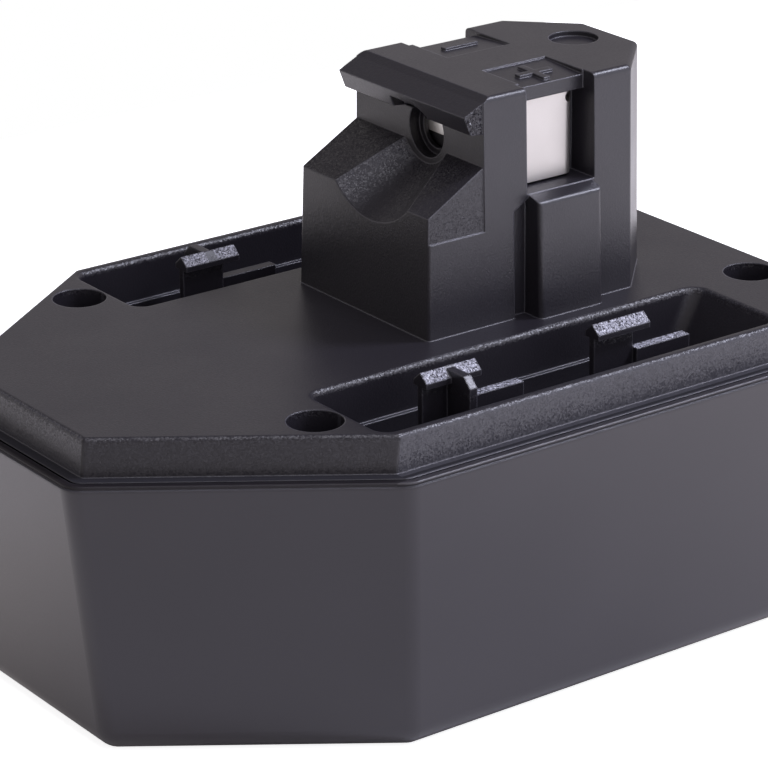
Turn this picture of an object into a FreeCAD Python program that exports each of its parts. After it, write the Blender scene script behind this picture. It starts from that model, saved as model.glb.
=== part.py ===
import FreeCAD, Part
import Sketcher
import math
import os

# Replacement stem-type battery pack: a drafted lower case, a textured upper cover with a hollow
# stem, sixteen 4/5 sub-C cells in series, and three spring contacts in the head of the stem.
# Millimetres. +Z up, origin under the middle of the base, stem nose towards -Y, + contact at +X.

# Driving sizes: name, value, what it sets.
SIZES = [
    ("cover_width", 89.6, "top face of the cover, across the two long sides"),
    ("cover_length", 130.2, "top face of the cover, front end to back end"),
    ("front_chamfer_across", 26.9, "front corner cut, measured across the pack"),
    ("front_chamfer_along", 37.5, "front corner cut, measured along the pack"),
    ("rear_chamfer_across", 18.0, "rear corner cut, measured across the pack"),
    ("rear_chamfer_along", 17.5, "rear corner cut, measured along the pack"),
    ("case_height", 50.4, "resting face to the top face of the cover"),
    ("plate", 2.4, "top plate of the cover"),
    ("cover_wall", 1.8, "wall of the cover behind the sloped skirt"),
    ("skirt_height", 5.9, "height of the sloped skirt"),
    ("skirt_flare", 0.8, "how far the skirt leans out at the ends and corner cuts"),
    ("skirt_flare_side", 0.3, "how far the skirt leans out on the long sides"),
    ("flange_end", 1.7, "seam flange beyond the skirt at the ends and corner cuts"),
    ("flange_side", 2.4, "seam flange beyond the skirt on the long sides"),
    ("flange_thick", 2.0, "thickness of the seam flange"),
    ("seam_gap", 0.5, "open groove between the flange and the lip of the case"),
    ("lip_width", 1.1, "rounded lip of the lower case"),
    ("lip_step", 0.3, "fine step under the lip"),
    ("lip_height", 0.6, "lip above the fine step"),
    ("lip_round", 0.3, "rounding of the lip"),
    ("spigot_depth", 4.1, "tongue of the cover below the flange"),
    ("spigot_clearance", 0.8, "tongue to the inside of the case"),
    ("rim_wall", 3.2, "wall of the lower case at its rim"),
    ("base_wall", 2.2, "wall of the lower case at its base"),
    ("base_floor", 2.2, "floor of the lower case"),
    ("draft_front", 4.4, "how far the front end leans in, rim to base"),
    ("draft_rear", 2.4, "how far the back end leans in"),
    ("draft_corner", 2.0, "how far the corner cuts lean in"),
    ("draft_side", 1.7, "how far the long sides lean in"),
    ("case_corner", 4.0, "rounding of the upright corners of the lower case"),
    ("case_foot", 3.8, "rounding round the foot of the lower case"),
    ("cover_corner", 0.8, "rounding of the corners of the skirt"),
    ("cover_edge", 0.8, "rounding of the top edge of the cover"),
    ("screw_front_inset", 11.95, "front screw holes, from the long sides of the cover"),
    ("screw_front_setback", 30.8, "front screw holes, behind the front end of the cover"),
    ("screw_rear_inset", 21.1, "rear screw holes, from the long sides of the cover"),
    ("screw_rear_setback", 6.1, "rear screw holes, ahead of the back end of the cover"),
    ("screw_well", 8.7, "bore of the screw wells"),
    ("screw_well_wall", 1.4, "wall of the screw wells"),
    ("screw_well_depth", 10.6, "depth of the screw wells"),
    ("screw_seat", 1.8, "floor of a screw well, which the head seats on"),
    ("screw_shank", 3.5, "thread diameter of the case screws"),
    ("screw_hole", 4.1, "hole in the floor of a well"),
    ("screw_pilot", 3.7, "bore of the screw bosses, with the thread formed in it"),
    ("screw_head", 6.6, "head diameter of the case screws"),
    ("screw_head_height", 2.4, "head height of the case screws"),
    ("screw_length", 14.0, "length of the screws under the head"),
    ("screw_recess", 3.8, "length of the cross recess in the screw heads"),
    ("screw_recess_slot", 0.9, "width of that recess's two slots"),
    ("screw_recess_depth", 1.4, "depth of the driver recess"),
    ("boss_diameter", 7.6, "screw bosses of the lower case"),
    ("pocket_inner", 23.5, "inner wall of a latch pocket, from the middle of the pack"),
    ("pocket_land", 2.1, "land of the cover outside a latch pocket"),
    ("pocket_front_setback", 36.0, "front wall of the latch pockets, behind the front end"),
    ("pocket_rear_setback", 17.2, "rear wall of the pockets at the top, ahead of the back end"),
    ("pocket_lean", 6.1, "how far the rear wall leans forward at the pocket floor"),
    ("pocket_ledge", 7.2, "depth of the ledge along the pocket walls"),
    ("pocket_ledge_width", 0.8, "width of that ledge"),
    ("pocket_depth", 10.7, "full depth of the latch pockets"),
    ("pocket_rim", 0.9, "rounding of the pocket rim"),
    ("pocket_corner", 2.4, "rounding of the pocket's upright corners"),
    ("tub_wall", 1.5, "wall and floor of the pocket tubs"),
    ("hook_middle", 32.6, "middle of the latch hooks, from the middle of the pack"),
    ("hook_length", 10.4, "length of a latch hook"),
    ("front_hook_setback", 14.2, "front hook behind the front wall of the pocket"),
    ("rear_hook_setback", 47.5, "rear hook behind the front wall of the pocket"),
    ("hook_blade", 1.2, "thickness of a hook's blade"),
    ("hook_blade_length", 7.8, "length of a hook's blade"),
    ("hook_head", 3.3, "width of a hook's head"),
    ("hook_ridge", 2.8, "ridge of the hooks above the cover"),
    ("hook_eaves", 1.4, "eaves of the hooks above the cover"),
    ("hook_lip", 0.5, "underside of the hook heads above the cover"),
    ("bar_width", 1.9, "thickness of the catch bars"),
    ("bar_length", 10.8, "length of the catch bars"),
    ("bar_middle", 33.3, "middle of the catch bars, from the middle of the pack"),
    ("bar_drop", 2.5, "top of the catch bars below the cover"),
    ("gusset_place", 4.7, "gusset of the front hook, behind the hook's front end"),
    ("gusset_thick", 1.4, "thickness of the gusset"),
    ("gusset_reach", 5.6, "gusset beyond the hook's blade"),
    ("gusset_bevel", 1.6, "bevel on the gusset's outer top corner"),
    ("stem_base_width", 34.8, "stem across, at its foot"),
    ("stem_top_width", 33.2, "stem across, at its top"),
    ("stem_height", 37.1, "stem above the cover"),
    ("stem_front_foot", -1.9, "front face of the stem at its foot"),
    ("stem_front_lean", 1.1, "how far the front face leans back over the stem's height"),
    ("stem_rear", 48.5, "back face of the stem"),
    ("stem_chamfer_across", 9.8, "rear corner cut of the stem, across"),
    ("stem_chamfer_along", 9.6, "rear corner cut of the stem, along"),
    ("stem_edge", 0.6, "rounding of the stem's upright edges"),
    ("stem_top_edge", 0.9, "rounding of the stem's top edges"),
    ("step_height", 19.8, "top of the front block at its front face"),
    ("ramp_height", 26.0, "top of the ramp at the head's front wall"),
    ("head_front", 9.5, "front wall of the stem's head"),
    ("trough_middle", 1.8, "axis of the trough, from the middle of the stem"),
    ("trough_front_radius", 13.7, "trough radius at the front face"),
    ("trough_height", 29.5, "axis of the trough above the cover"),
    ("trough_rear_radius", 6.5, "trough radius at the head"),
    ("hood_nose", 5.9, "front of the hood"),
    ("hood_lip_rear", 7.1, "lower edge of the hood's nose, along the pack"),
    ("hood_crease", 36.3, "crease in the hood's slope above the cover"),
    ("hood_under", 31.3, "underside of the hood where it meets the head"),
    ("hood_lip_low", 31.6, "lower edge of the hood's nose"),
    ("hood_lip_high", 34.6, "upper edge of the hood's nose"),
    ("hood_slope_end", 10.9, "where the hood's slope meets the top of the stem"),
    ("hood_slot_left", -3.4, "notch in the hood's lower edge, one end"),
    ("hood_slot_length", 3.6, "length of that notch"),
    ("hood_slot_height", 2.0, "height of that notch above the hood's underside"),
    ("hood_slot_depth", 0.8, "depth of that notch in the head's front wall"),
    ("bore_middle", 2.0, "sensor bore, from the middle of the stem"),
    ("bore_height", 28.5, "axis of the sensor bore above the cover"),
    ("bore_diameter", 9.0, "mouth of the sensor bore"),
    ("bore_mouth_depth", 2.0, "depth of the wide mouth"),
    ("bore_relief", 0.3, "the bore's run through the hood, wider all round than its mouth"),
    ("bore_inner", 6.8, "sensor bore behind its mouth"),
    ("panel_foot", 15.6, "foot of the sunk side panels of the front block"),
    ("panel_depth", 0.25, "depth of those panels"),
    ("window_front", 17.9, "front end of the contact windows"),
    ("window_rear", 31.5, "rear end of the contact windows"),
    ("window_sill", 20.0, "sill of the windows above the cover"),
    ("lintel_inset", 13.8, "outer face of the lintels, from the middle of the stem"),
    ("lintel_foot", 34.1, "underside of the lintels above the cover"),
    ("recess_inner", 4.5, "inner edge of the marked recesses, from the middle of the stem"),
    ("recess_step", 0.3, "depth of the marked recesses at their inner edge"),
    ("recess_depth", 0.75, "depth of the marked recesses at the lintel"),
    ("recess_front", 18.6, "front edge of the marked recesses"),
    ("recess_rear", 31.3, "rear edge of the marked recesses"),
    ("window_back", 11.0, "back of the windows, from the middle of the stem"),
    ("rib_outer_foot", 20.3, "outer face of the side ribs at the foot"),
    ("rib_outer_top", 19.6, "outer face of the side ribs at the top"),
    ("rib_shoulder", 0.9, "fall of the ribs' top towards their outer face"),
    ("rib_edge", 0.8, "rounding of the ribs' outer edges"),
    ("rib_front", 18.2, "front end of the side ribs"),
    ("rib_rear", 30.9, "rear end of the side ribs"),
    ("groove_front", 15.2, "front edge of the groove beside the rib"),
    ("groove_depth", 1.3, "depth of that groove"),
    ("groove_top", 17.6, "top of the groove at its front edge"),
    ("groove_rise", 1.8, "rise of the groove's top towards the rib"),
    ("dimple_middle", -0.9, "dimple on top, from the middle of the stem"),
    ("dimple_along", 41.5, "place of the dimple along the pack"),
    ("dimple_diameter", 8.1, "dimple on top of the stem"),
    ("dimple_depth", 0.9, "depth of the dimple"),
    ("mark_length", 6.6, "length of the polarity marks"),
    ("mark_across", 9.6, "middle of the marks, from the middle of the stem"),
    ("mark_along", 24.9, "middle of the marks along the pack"),
    ("mark_width", 1.2, "width of the polarity marks"),
    ("mark_height", 0.45, "relief of the polarity marks"),
    ("stem_well_half", 14.4, "lower hollow of the stem, half its width"),
    ("stem_well_front", 1.4, "front of the lower hollow"),
    ("stem_well_rear", 37.6, "rear of both hollows"),
    ("stem_well_top", 13.0, "top of the lower hollow above the cover"),
    ("head_well_half", 9.6, "upper hollow, half its width"),
    ("head_well_front", 12.3, "front of the upper hollow"),
    ("head_well_top", 34.7, "top of the upper hollow above the cover"),
    ("stack_clearance", 0.2, "outer cells to the long walls of the case"),
    ("stack_front", 2.25, "room in front of the cells"),
    ("stack_rear", 12.25, "room behind the cells, filled by the foam"),
    ("cell_gap", 0.2, "cells to each other, over their sleeves"),
    ("cell_button_height", 1.0, "button on the positive end of a cell"),
    ("cell_button_radius", 4.2, "radius of that button"),
    ("sleeve_gap", 0.05, "card sleeve round a cell, clearance"),
    ("sleeve_wall", 0.2, "card sleeve, thickness"),
    ("pad_thick", 0.6, "bottom insulator"),
    ("sheet_thick", 0.5, "top insulator"),
    ("sheet_margin", 0.4, "insulators beyond the cells"),
    ("sheet_clearance", 0.3, "top insulator to the tubs of the cover"),
    ("link_thick", 0.3, "nickel links between the cells"),
    ("link_width", 7.0, "width of the links"),
    ("link_end", 4.0, "links beyond the middle of a cell"),
    ("contact_thick", 0.6, "sheet of the power contacts"),
    ("contact_rear", 30.2, "rear face of the power contacts, over the bend"),
    ("contact_foot", 0.4, "gap between the contacts and the sill of the window"),
    ("contact_clearance", 0.15, "contacts to the windows' edges"),
    ("contact_bend", 2.0, "outer radius of the bend at the rear of the power contacts"),
    ("contact_notch", 1.7, "round notch in the top corner of the bend"),
    ("contact_notch_inset", 1.2, "middle of the notch ahead of the rear face"),
    ("contact_notch_drop", 0.9, "middle of the notch below the top of the contact"),
    ("tail_front", 20.5, "front edge of the contact tails"),
    ("tail_rear", 24.5, "rear edge of the contact tails"),
    ("tail_inner", 8.0, "inner face of the tails' legs, from the middle of the stem"),
    ("tail_foot", 10.0, "foot of the tails' legs above the cover"),
    ("carrier_clearance", 0.1, "carrier to the hollow of the head"),
    ("carrier_front", 12.85, "front face of the contact carrier"),
    ("sensor_thick", 0.5, "sheet of the sensor contact"),
    ("sensor_width", 7.0, "width of the sensor contact"),
    ("sensor_foot", 27.2, "lower edge of the sensor contact above the cover"),
    ("sensor_tail", 2.4, "width of the sensor contact's tail"),
    ("sensor_tail_shift", 2.3, "middle of that tail beside the middle of the bore"),
    ("lead_thick", 0.3, "sheet of the power leads"),
    ("lead_width", 5.0, "width of the power leads"),
    ("wire_radius", 0.8, "sensor wire"),
    ("thermistor_radius", 2.0, "thermistor bead"),
    ("thermistor_length", 6.0, "thermistor body"),
    ("cutout_length", 11.0, "thermal cut-out, along the pack"),
    ("cutout_width", 4.6, "thermal cut-out, across"),
    ("cutout_height", 3.2, "thermal cut-out, height"),
    ("foam_clearance", 0.3, "foam block to the cells and the case"),
    ("foam_width", 30.0, "foam block, across"),
    ("sensor_height", 5.0, "height of the sensor contact's plate"),
    ("sensor_tail_foot", 9.0, "foot of the sensor contact's tail above the cover"),
    ("lead_lap", 4.0, "lap of the power leads on the contact tails"),
    ("lead_foot", 7.0, "foot of the power leads on a cell"),
    ("slot_clearance", 0.3, "clearance round what passes through a slot"),
    ("wire_bend", 6.0, "height over which the sensor wire crosses over"),
    ("can_groove", 0.5, "rolled groove round a cell, depth"),
    ("can_groove_place", 3.2, "rolled groove below the shoulder of a cell"),
]

doc = FreeCAD.newDocument("BatteryPack")
sheet = doc.addObject("Spreadsheet::Sheet", "Sizes")
for line, (alias, amount, note) in enumerate(SIZES, start=1):
    sheet.set(f"A{line}", alias)
    sheet.set(f"B{line}", str(amount))
    sheet.set(f"C{line}", note)
    sheet.setAlias(f"B{line}", alias)
doc.recompute()


class Size:
    """A length that knows its value and the sheet expression that gives it."""

    def __init__(self, text, value):
        self.text = text
        self.value = float(value)

    def __add__(self, other):
        other = as_size(other)
        return Size(f"({self.text} + {other.text})", self.value + other.value)

    def __sub__(self, other):
        other = as_size(other)
        return Size(f"({self.text} - {other.text})", self.value - other.value)

    def __mul__(self, other):
        other = as_size(other)
        return Size(f"({self.text} * {other.text})", self.value * other.value)

    def __truediv__(self, other):
        other = as_size(other)
        return Size(f"({self.text} / {other.text})", self.value / other.value)

    def __neg__(self):
        return Size(f"(0 - {self.text})", -self.value)


def as_size(amount):
    if isinstance(amount, Size):
        return amount
    return Size(repr(float(amount)), amount)


def hypotenuse(across, along):
    text = f"sqrt({across.text} * {across.text} + {along.text} * {along.text})"
    return Size(text, math.hypot(across.value, along.value))


def smaller(first, second):
    return Size(f"min({first.text}; {second.text})", min(first.value, second.value))


S = {alias: Size(f"Sizes.{alias}", amount) for alias, amount, note in SIZES}


def bind(item, place, size):
    item.setExpression(place, as_size(size).text)


def place_at(item, x, y, z):
    for axis, size in zip("xyz", (x, y, z)):
        bind(item, f"Placement.Base.{axis}", size)


def box(name, x, y, z):
    """A block between two limits on each axis, given as pairs of sizes."""
    block = doc.addObject("Part::Box", name)
    for side, (low, high) in zip(("Length", "Width", "Height"), (x, y, z)):
        bind(block, side, as_size(high) - low)
    place_at(block, x[0], y[0], z[0])
    return block


def mirrored_limits(side, inner, outer):
    """Limits on X of something between two distances from the middle, on one side."""
    if side > 0:
        return inner, outer
    return -as_size(outer), -as_size(inner)


UP = FreeCAD.Rotation()
ALONG_X = FreeCAD.Rotation(FreeCAD.Vector(0, 1, 0), 90)
ALONG_Y = FreeCAD.Rotation(FreeCAD.Vector(1, 0, 0), -90)


def cylinder(name, radius, height, x, y, z, turn=UP):
    rod = doc.addObject("Part::Cylinder", name)
    rod.Placement = FreeCAD.Placement(FreeCAD.Vector(), turn)
    bind(rod, "Radius", radius)
    bind(rod, "Height", height)
    place_at(rod, x, y, z)
    return rod


def fuse(name, pieces):
    if len(pieces) == 1:
        return pieces[0]
    joined = doc.addObject("Part::MultiFuse", name)
    joined.Shapes = pieces
    joined.Refine = True
    return joined


def cut(name, base, tool):
    left = doc.addObject("Part::Cut", name)
    left.Base = base
    left.Tool = tool
    left.Refine = True
    return left


def common(name, base, tool):
    shared = doc.addObject("Part::Common", name)
    shared.Base = base
    shared.Tool = tool
    return shared


def origin_plane(body, role):
    return [item for item in body.Origin.OriginFeatures if item.Role == role][0]


def polygon_sketch(body, name, role, points, lift):
    """A closed outline whose corners are held by the sheet, on a plane moved out by lift."""
    sketch = body.newObject("Sketcher::SketchObject", name)
    sketch.AttachmentSupport = [(origin_plane(body, role), "")]
    sketch.MapMode = "FlatFace"
    bind(sketch, "AttachmentOffset.Base.z", lift)
    corners = [FreeCAD.Vector(as_size(u).value, as_size(v).value, 0) for u, v in points]
    count = len(points)
    for index in range(count):
        sketch.addGeometry(Part.LineSegment(corners[index], corners[(index + 1) % count]), False)
    for index in range(count):
        sketch.addConstraint(Sketcher.Constraint("Coincident", index, 2, (index + 1) % count, 1))
    for index, (u, v) in enumerate(points):
        for kind, size in (("DistanceX", u), ("DistanceY", v)):
            size = as_size(size)
            number = sketch.addConstraint(Sketcher.Constraint(kind, -1, 1, index, 1, size.value))
            sketch.setExpression(f"Constraints[{number}]", size.text)
    return sketch


def prism(name, role, points, lift, length):
    """A body padded from one outline; it grows along the plane's own normal."""
    body = doc.addObject("PartDesign::Body", name)
    sketch = polygon_sketch(body, f"{name}_outline", role, points, lift)
    pad = body.newObject("PartDesign::Pad", f"{name}_pad")
    pad.Profile = sketch
    bind(pad, "Length", length)
    sketch.Visibility = False
    body.Tip = pad
    return body


def tapered(name, lower, low, upper, high):
    """A solid with flat faces between two level outlines whose sides run parallel."""
    low, high = as_size(low), as_size(high)
    foot = [FreeCAD.Vector(as_size(x).value, as_size(y).value, low.value) for x, y in lower]
    head = [FreeCAD.Vector(as_size(x).value, as_size(y).value, high.value) for x, y in upper]
    rings = [foot[::-1], head]
    for index in range(len(foot)):
        following = (index + 1) % len(foot)
        rings.append([foot[index], foot[following], head[following], head[index]])
    faces = [Part.Face(Part.makePolygon(ring + ring[:1])) for ring in rings]
    block = doc.addObject("Part::Feature", name)
    shell = Part.makeShell(faces)
    shell.sewShape()
    block.Shape = Part.makeSolid(shell)
    return block


def round_edges(body, name, radius, wanted):
    """Rounds the edges of a body's tip that the test accepts."""
    doc.recompute()
    tip = body.Tip
    names = [f"Edge{number}" for number, edge in enumerate(tip.Shape.Edges, start=1) if wanted(edge)]
    rounding = body.newObject("PartDesign::Fillet", name)
    rounding.Base = (tip, names)
    bind(rounding, "Radius", radius)
    body.Tip = rounding
    return rounding


def round_part(name, base, radius, wanted):
    """Rounds the chosen edges of a boolean result."""
    doc.recompute()
    numbers = [number for number, edge in enumerate(base.Shape.Edges, start=1) if wanted(edge)]
    rounding = doc.addObject("Part::Fillet", name)
    rounding.Base = base
    rounding.Edges = [(number, radius.value, radius.value) for number in numbers]
    return rounding


NEAR = 1e-3


def upright(edge):
    """True for an edge that climbs more than it runs."""
    first, last = edge.Vertexes[0].Point, edge.Vertexes[-1].Point
    rise = abs(last.z - first.z)
    run = math.hypot(last.x - first.x, last.y - first.y)
    return rise > run


def level_at(edge, height):
    return all(abs(vertex.Point.z - height) < NEAR for vertex in edge.Vertexes)


def outline(front, corner, side, rear, rear_corner):
    """The eight-sided plan of the pack, grown by an amount for each kind of face."""
    half = S["cover_width"] / 2
    reach = S["cover_length"] / 2
    across, along = S["front_chamfer_across"], S["front_chamfer_along"]
    back_across, back_along = S["rear_chamfer_across"], S["rear_chamfer_along"]
    slant = hypotenuse(across, along)
    back_slant = hypotenuse(back_across, back_along)
    front_x = half - across - across * front / along + corner * slant / along
    side_front = -reach + along - (corner * slant - along * side) / across
    rear_x = half - back_across - back_across * rear / back_along
    rear_x = rear_x + rear_corner * back_slant / back_along
    side_rear = reach - back_along + (rear_corner * back_slant - back_along * side) / back_across
    right = [
        (front_x, -(reach + front)),
        (half + side, side_front),
        (half + side, side_rear),
        (rear_x, reach + rear),
    ]
    left = [(-x, y) for x, y in reversed(right)]
    return right + left


def grown(amount):
    amount = as_size(amount)
    return outline(amount, amount, amount, amount, amount)


def seam_outline(inward):
    """The outer rim of the lower case, drawn in by an amount."""
    end = RIM_END - inward
    side = RIM_SIDE - inward
    return outline(end, end, side, end, end)


# The rim follows the skirt, the flange, the seam and the lip.
RIM_BEYOND_FLANGE = S["seam_gap"] + S["lip_width"] + S["lip_step"]
RIM_END = S["skirt_flare"] + S["flange_end"] + RIM_BEYOND_FLANGE
RIM_SIDE = S["skirt_flare_side"] + S["flange_side"] + RIM_BEYOND_FLANGE
HALF_WIDTH = S["cover_width"] / 2
HALF_LENGTH = S["cover_length"] / 2
COVER_TOP = S["case_height"]
SEAM_TOP = COVER_TOP - S["skirt_height"]
SEAM_FLOOR = SEAM_TOP - S["flange_thick"]
SPIGOT_FOOT = SEAM_FLOOR - S["spigot_depth"]
PLATE_UNDER = COVER_TOP - S["plate"]
SHOULDER = SEAM_TOP - S["lip_height"]


def screw_places():
    front = (S["screw_front_inset"], S["screw_front_setback"] - HALF_LENGTH)
    rear = (S["screw_rear_inset"], HALF_LENGTH - S["screw_rear_setback"])
    for inset, along in (front, rear):
        for side in (-1, 1):
            yield (HALF_WIDTH - inset) * side, along


# Lower case: one drafted moulding with a rounded lip, a rebate for the cover and four bosses.
def base_outline(inward):
    """The foot of the lower case, drawn in by an amount."""
    end = RIM_END - inward
    corner = end - S["draft_corner"]
    return outline(end - S["draft_front"], corner, RIM_SIDE - inward - S["draft_side"],
                   end - S["draft_rear"], corner)


def make_lower_case():
    shell = tapered("case_block", base_outline(0), 0, seam_outline(0), SHOULDER)
    shell = round_part("case_upright_rounding", shell, S["case_corner"], upright)
    shell = round_part("case_shell", shell, S["case_foot"], lambda edge: level_at(edge, 0))
    lip_root = SEAM_FLOOR - S["lip_height"]
    lip = prism("case_lip", "XY_Plane", seam_outline(S["lip_step"]), lip_root, SEAM_TOP - lip_root)
    round_edges(lip, "lip_upright_rounding", S["case_corner"], upright)
    round_edges(lip, "lip_top_rounding", S["lip_round"],
                lambda edge: level_at(edge, SEAM_TOP.value))
    room = tapered("case_room", base_outline(S["base_wall"]), S["base_floor"],
                   seam_outline(S["rim_wall"]), SEAM_FLOOR)
    room = round_part("room_upright_rounding", room, S["case_corner"] - S["base_wall"], upright)
    rebate_inset = S["lip_step"] + S["lip_width"]
    rebate = prism("case_rebate", "XY_Plane", seam_outline(rebate_inset), SEAM_FLOOR, S["skirt_height"])
    round_edges(rebate, "rebate_upright_rounding", S["case_corner"] - rebate_inset, upright)
    hollow = cut("case_hollow", fuse("case_outside", [shell, lip]), fuse("case_inside", [room, rebate]))

    boss_top = COVER_TOP - S["screw_well_depth"] - S["screw_seat"]
    boss_root = S["base_floor"] / 2
    pilot_foot = COVER_TOP - S["screw_well_depth"] - S["screw_length"] - S["screw_seat"]
    bosses = []
    pilots = []
    for number, (x, y) in enumerate(screw_places(), start=1):
        boss = cylinder(f"boss_{number}", S["boss_diameter"] / 2, boss_top - boss_root, x, y, boss_root)
        pilot = cylinder(f"pilot_{number}", S["screw_pilot"] / 2, boss_top - pilot_foot, x, y, pilot_foot)
        bosses.append(boss)
        pilots.append(pilot)
    return cut("lower_case", fuse("case_with_bosses", [hollow] + bosses), fuse("pilots", pilots))


# Latch pockets: an open tub on each side of the stem, with a ledge and a rear wall that leans.
POCKET_OUTER = HALF_WIDTH - S["pocket_land"]
POCKET_FRONT = S["pocket_front_setback"] - HALF_LENGTH
POCKET_REAR = HALF_LENGTH - S["pocket_rear_setback"]
TUB_UNDER = COVER_TOP - S["pocket_depth"] - S["tub_wall"]


def pocket_outline(side, depth, inset):
    low, high = mirrored_limits(side, S["pocket_inner"] + inset, POCKET_OUTER - inset)
    rear = POCKET_REAR - S["pocket_lean"] * depth / S["pocket_depth"]
    return [(low, POCKET_FRONT), (high, POCKET_FRONT), (high, rear), (low, rear)]


def pocket_room(side, name):
    ledge = S["pocket_ledge"]
    wide = tapered(f"{name}_wide", pocket_outline(side, ledge, 0), COVER_TOP - ledge,
                   pocket_outline(side, 0, 0), COVER_TOP)
    wide = round_part(f"{name}_wide_rounding", wide, S["pocket_corner"], upright)
    mouth = prism(f"{name}_mouth", "XY_Plane", pocket_outline(side, 0, 0), COVER_TOP, S["plate"])
    round_edges(mouth, f"{name}_mouth_rounding", S["pocket_corner"], upright)
    inset = S["pocket_ledge_width"]
    narrow = tapered(f"{name}_narrow", pocket_outline(side, S["pocket_depth"], inset),
                     COVER_TOP - S["pocket_depth"], pocket_outline(side, ledge, inset), COVER_TOP - ledge)
    narrow = round_part(f"{name}_narrow_rounding", narrow, S["pocket_corner"], upright)
    return fuse(name, [wide, mouth, narrow])


def pocket_tub(side, name):
    """The tub's walls and floor, kept inside the skirt where the corner cuts pass close by."""
    wall = S["tub_wall"]
    top = PLATE_UNDER + S["plate"] / 2
    along = (POCKET_FRONT - wall, POCKET_REAR + wall)
    block = box(f"{name}_block", mirrored_limits(side, S["pocket_inner"] - wall, POCKET_OUTER + wall), along,
                (TUB_UNDER, top))
    plan = prism(f"{name}_plan", "XY_Plane", grown(-S["cover_wall"] / 2), TUB_UNDER, top - TUB_UNDER)
    return common(name, block, plan)


# Hooks and catch bars: they stand in the pockets and rise just above the cover.
FRONT_HOOK = POCKET_FRONT + S["front_hook_setback"]
REAR_HOOK = POCKET_FRONT + S["rear_hook_setback"]


def make_hook(side, name, front):
    middle = S["hook_middle"] * side
    root = COVER_TOP - S["pocket_depth"] - S["tub_wall"] / 2
    half_blade = S["hook_blade"] / 2
    half_head = S["hook_head"] / 2
    lip = COVER_TOP + S["hook_lip"]
    eaves = COVER_TOP + S["hook_eaves"]
    head_outline = [
        (middle - half_head, lip), (middle + half_head, lip), (middle + half_head, eaves),
        (middle, COVER_TOP + S["hook_ridge"]), (middle - half_head, eaves),
    ]
    head = prism(f"{name}_head", "XZ_Plane", head_outline, -(front + S["hook_length"]), S["hook_length"])
    blade_end = front + S["hook_blade_length"]
    blade = box(f"{name}_blade", (middle - half_blade, middle + half_blade), (front, blade_end),
                (root, eaves))
    bar_middle = S["bar_middle"] * side
    half_bar = S["bar_width"] / 2
    bar = box(f"{name}_bar", (bar_middle - half_bar, bar_middle + half_bar),
              (blade_end, blade_end + S["bar_length"]), (root, COVER_TOP - S["bar_drop"]))
    return [head, blade, bar]


def make_gusset(side, name):
    inner = S["hook_middle"]
    outer = inner + S["hook_blade"] / 2 + S["gusset_reach"]
    root = COVER_TOP - S["pocket_depth"] - S["tub_wall"] / 2
    top = COVER_TOP + S["hook_ridge"] - S["lip_step"]
    bevel = S["gusset_bevel"]
    points = [(inner, root), (outer, root), (outer, top - bevel), (outer - bevel, top), (inner, top)]
    points = [(x * side, z) for x, z in points]
    start = FRONT_HOOK + S["gusset_place"]
    return prism(name, "XZ_Plane", points, -(start + S["gusset_thick"]), S["gusset_thick"])


# Stem: a leaning block with a ramped trough in front and a hollow head behind.
STEM_TOP = COVER_TOP + S["stem_height"]
CLEAR = S["plate"]


def stem_outline(width, front):
    """Five-sided plan of the stem: a flat front and two cut corners behind."""
    half = width / 2
    corner = S["stem_rear"] - S["stem_chamfer_along"]
    right = [(half, front), (half, corner), (half - S["stem_chamfer_across"], S["stem_rear"])]
    return right + [(-x, y) for x, y in reversed(right)]


def make_stem_block():
    front = S["stem_front_foot"]
    block = tapered("stem_blank", stem_outline(S["stem_base_width"], front), COVER_TOP,
                    stem_outline(S["stem_top_width"], front + S["stem_front_lean"]), STEM_TOP)
    block = round_part("stem_upright_rounding", block, S["stem_edge"], upright)
    return round_part("stem_block", block, S["stem_top_edge"],
                      lambda edge: level_at(edge, STEM_TOP.value))


def both_sides(name, maker):
    return [maker(side, f"{name}_{word}") for side, word in ((1, "near"), (-1, "far"))]


def head_step():
    """What is missing above the ramp and in front of the head, the hood left standing."""
    reach = S["stem_base_width"] / 2 + CLEAR
    ramp_front = S["stem_front_foot"] + S["stem_front_lean"] * S["step_height"] / S["stem_height"]
    slope = (S["ramp_height"] - S["step_height"]) / (S["head_front"] - ramp_front)
    front = S["stem_front_foot"] - CLEAR
    front_height = S["step_height"] - slope * (ramp_front - front)
    over = STEM_TOP + CLEAR
    points = [
        (front, COVER_TOP + front_height),
        (S["head_front"], COVER_TOP + S["ramp_height"]),
        (S["head_front"], COVER_TOP + S["hood_under"]),
        (S["hood_lip_rear"], COVER_TOP + S["hood_lip_low"]),
        (S["hood_nose"], COVER_TOP + S["hood_lip_high"]),
        (S["head_front"], COVER_TOP + S["hood_crease"]),
        (S["hood_slope_end"], STEM_TOP),
        (S["hood_slope_end"], over),
        (front, over),
    ]
    return prism("head_step", "YZ_Plane", points, -reach, reach * 2)


def trough():
    lead = CLEAR
    front = S["stem_front_foot"] - lead
    run = S["head_front"] - S["stem_front_foot"] - S["stem_front_lean"] / 2
    spread = (S["trough_front_radius"] - S["trough_rear_radius"]) / run
    cone = doc.addObject("Part::Cone", "trough_cone")
    cone.Placement = FreeCAD.Placement(FreeCAD.Vector(), ALONG_Y)
    bind(cone, "Radius1", S["trough_rear_radius"] + spread * (S["head_front"] - front))
    bind(cone, "Radius2", S["trough_rear_radius"])
    bind(cone, "Height", S["head_front"] - front)
    place_at(cone, S["trough_middle"], front, COVER_TOP + S["trough_height"])
    reach = S["stem_base_width"] / 2
    below = box("trough_limit", (-reach, reach), (front - lead, S["head_front"]),
                (COVER_TOP, COVER_TOP + S["hood_under"]))
    return common("trough", cone, below)


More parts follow.
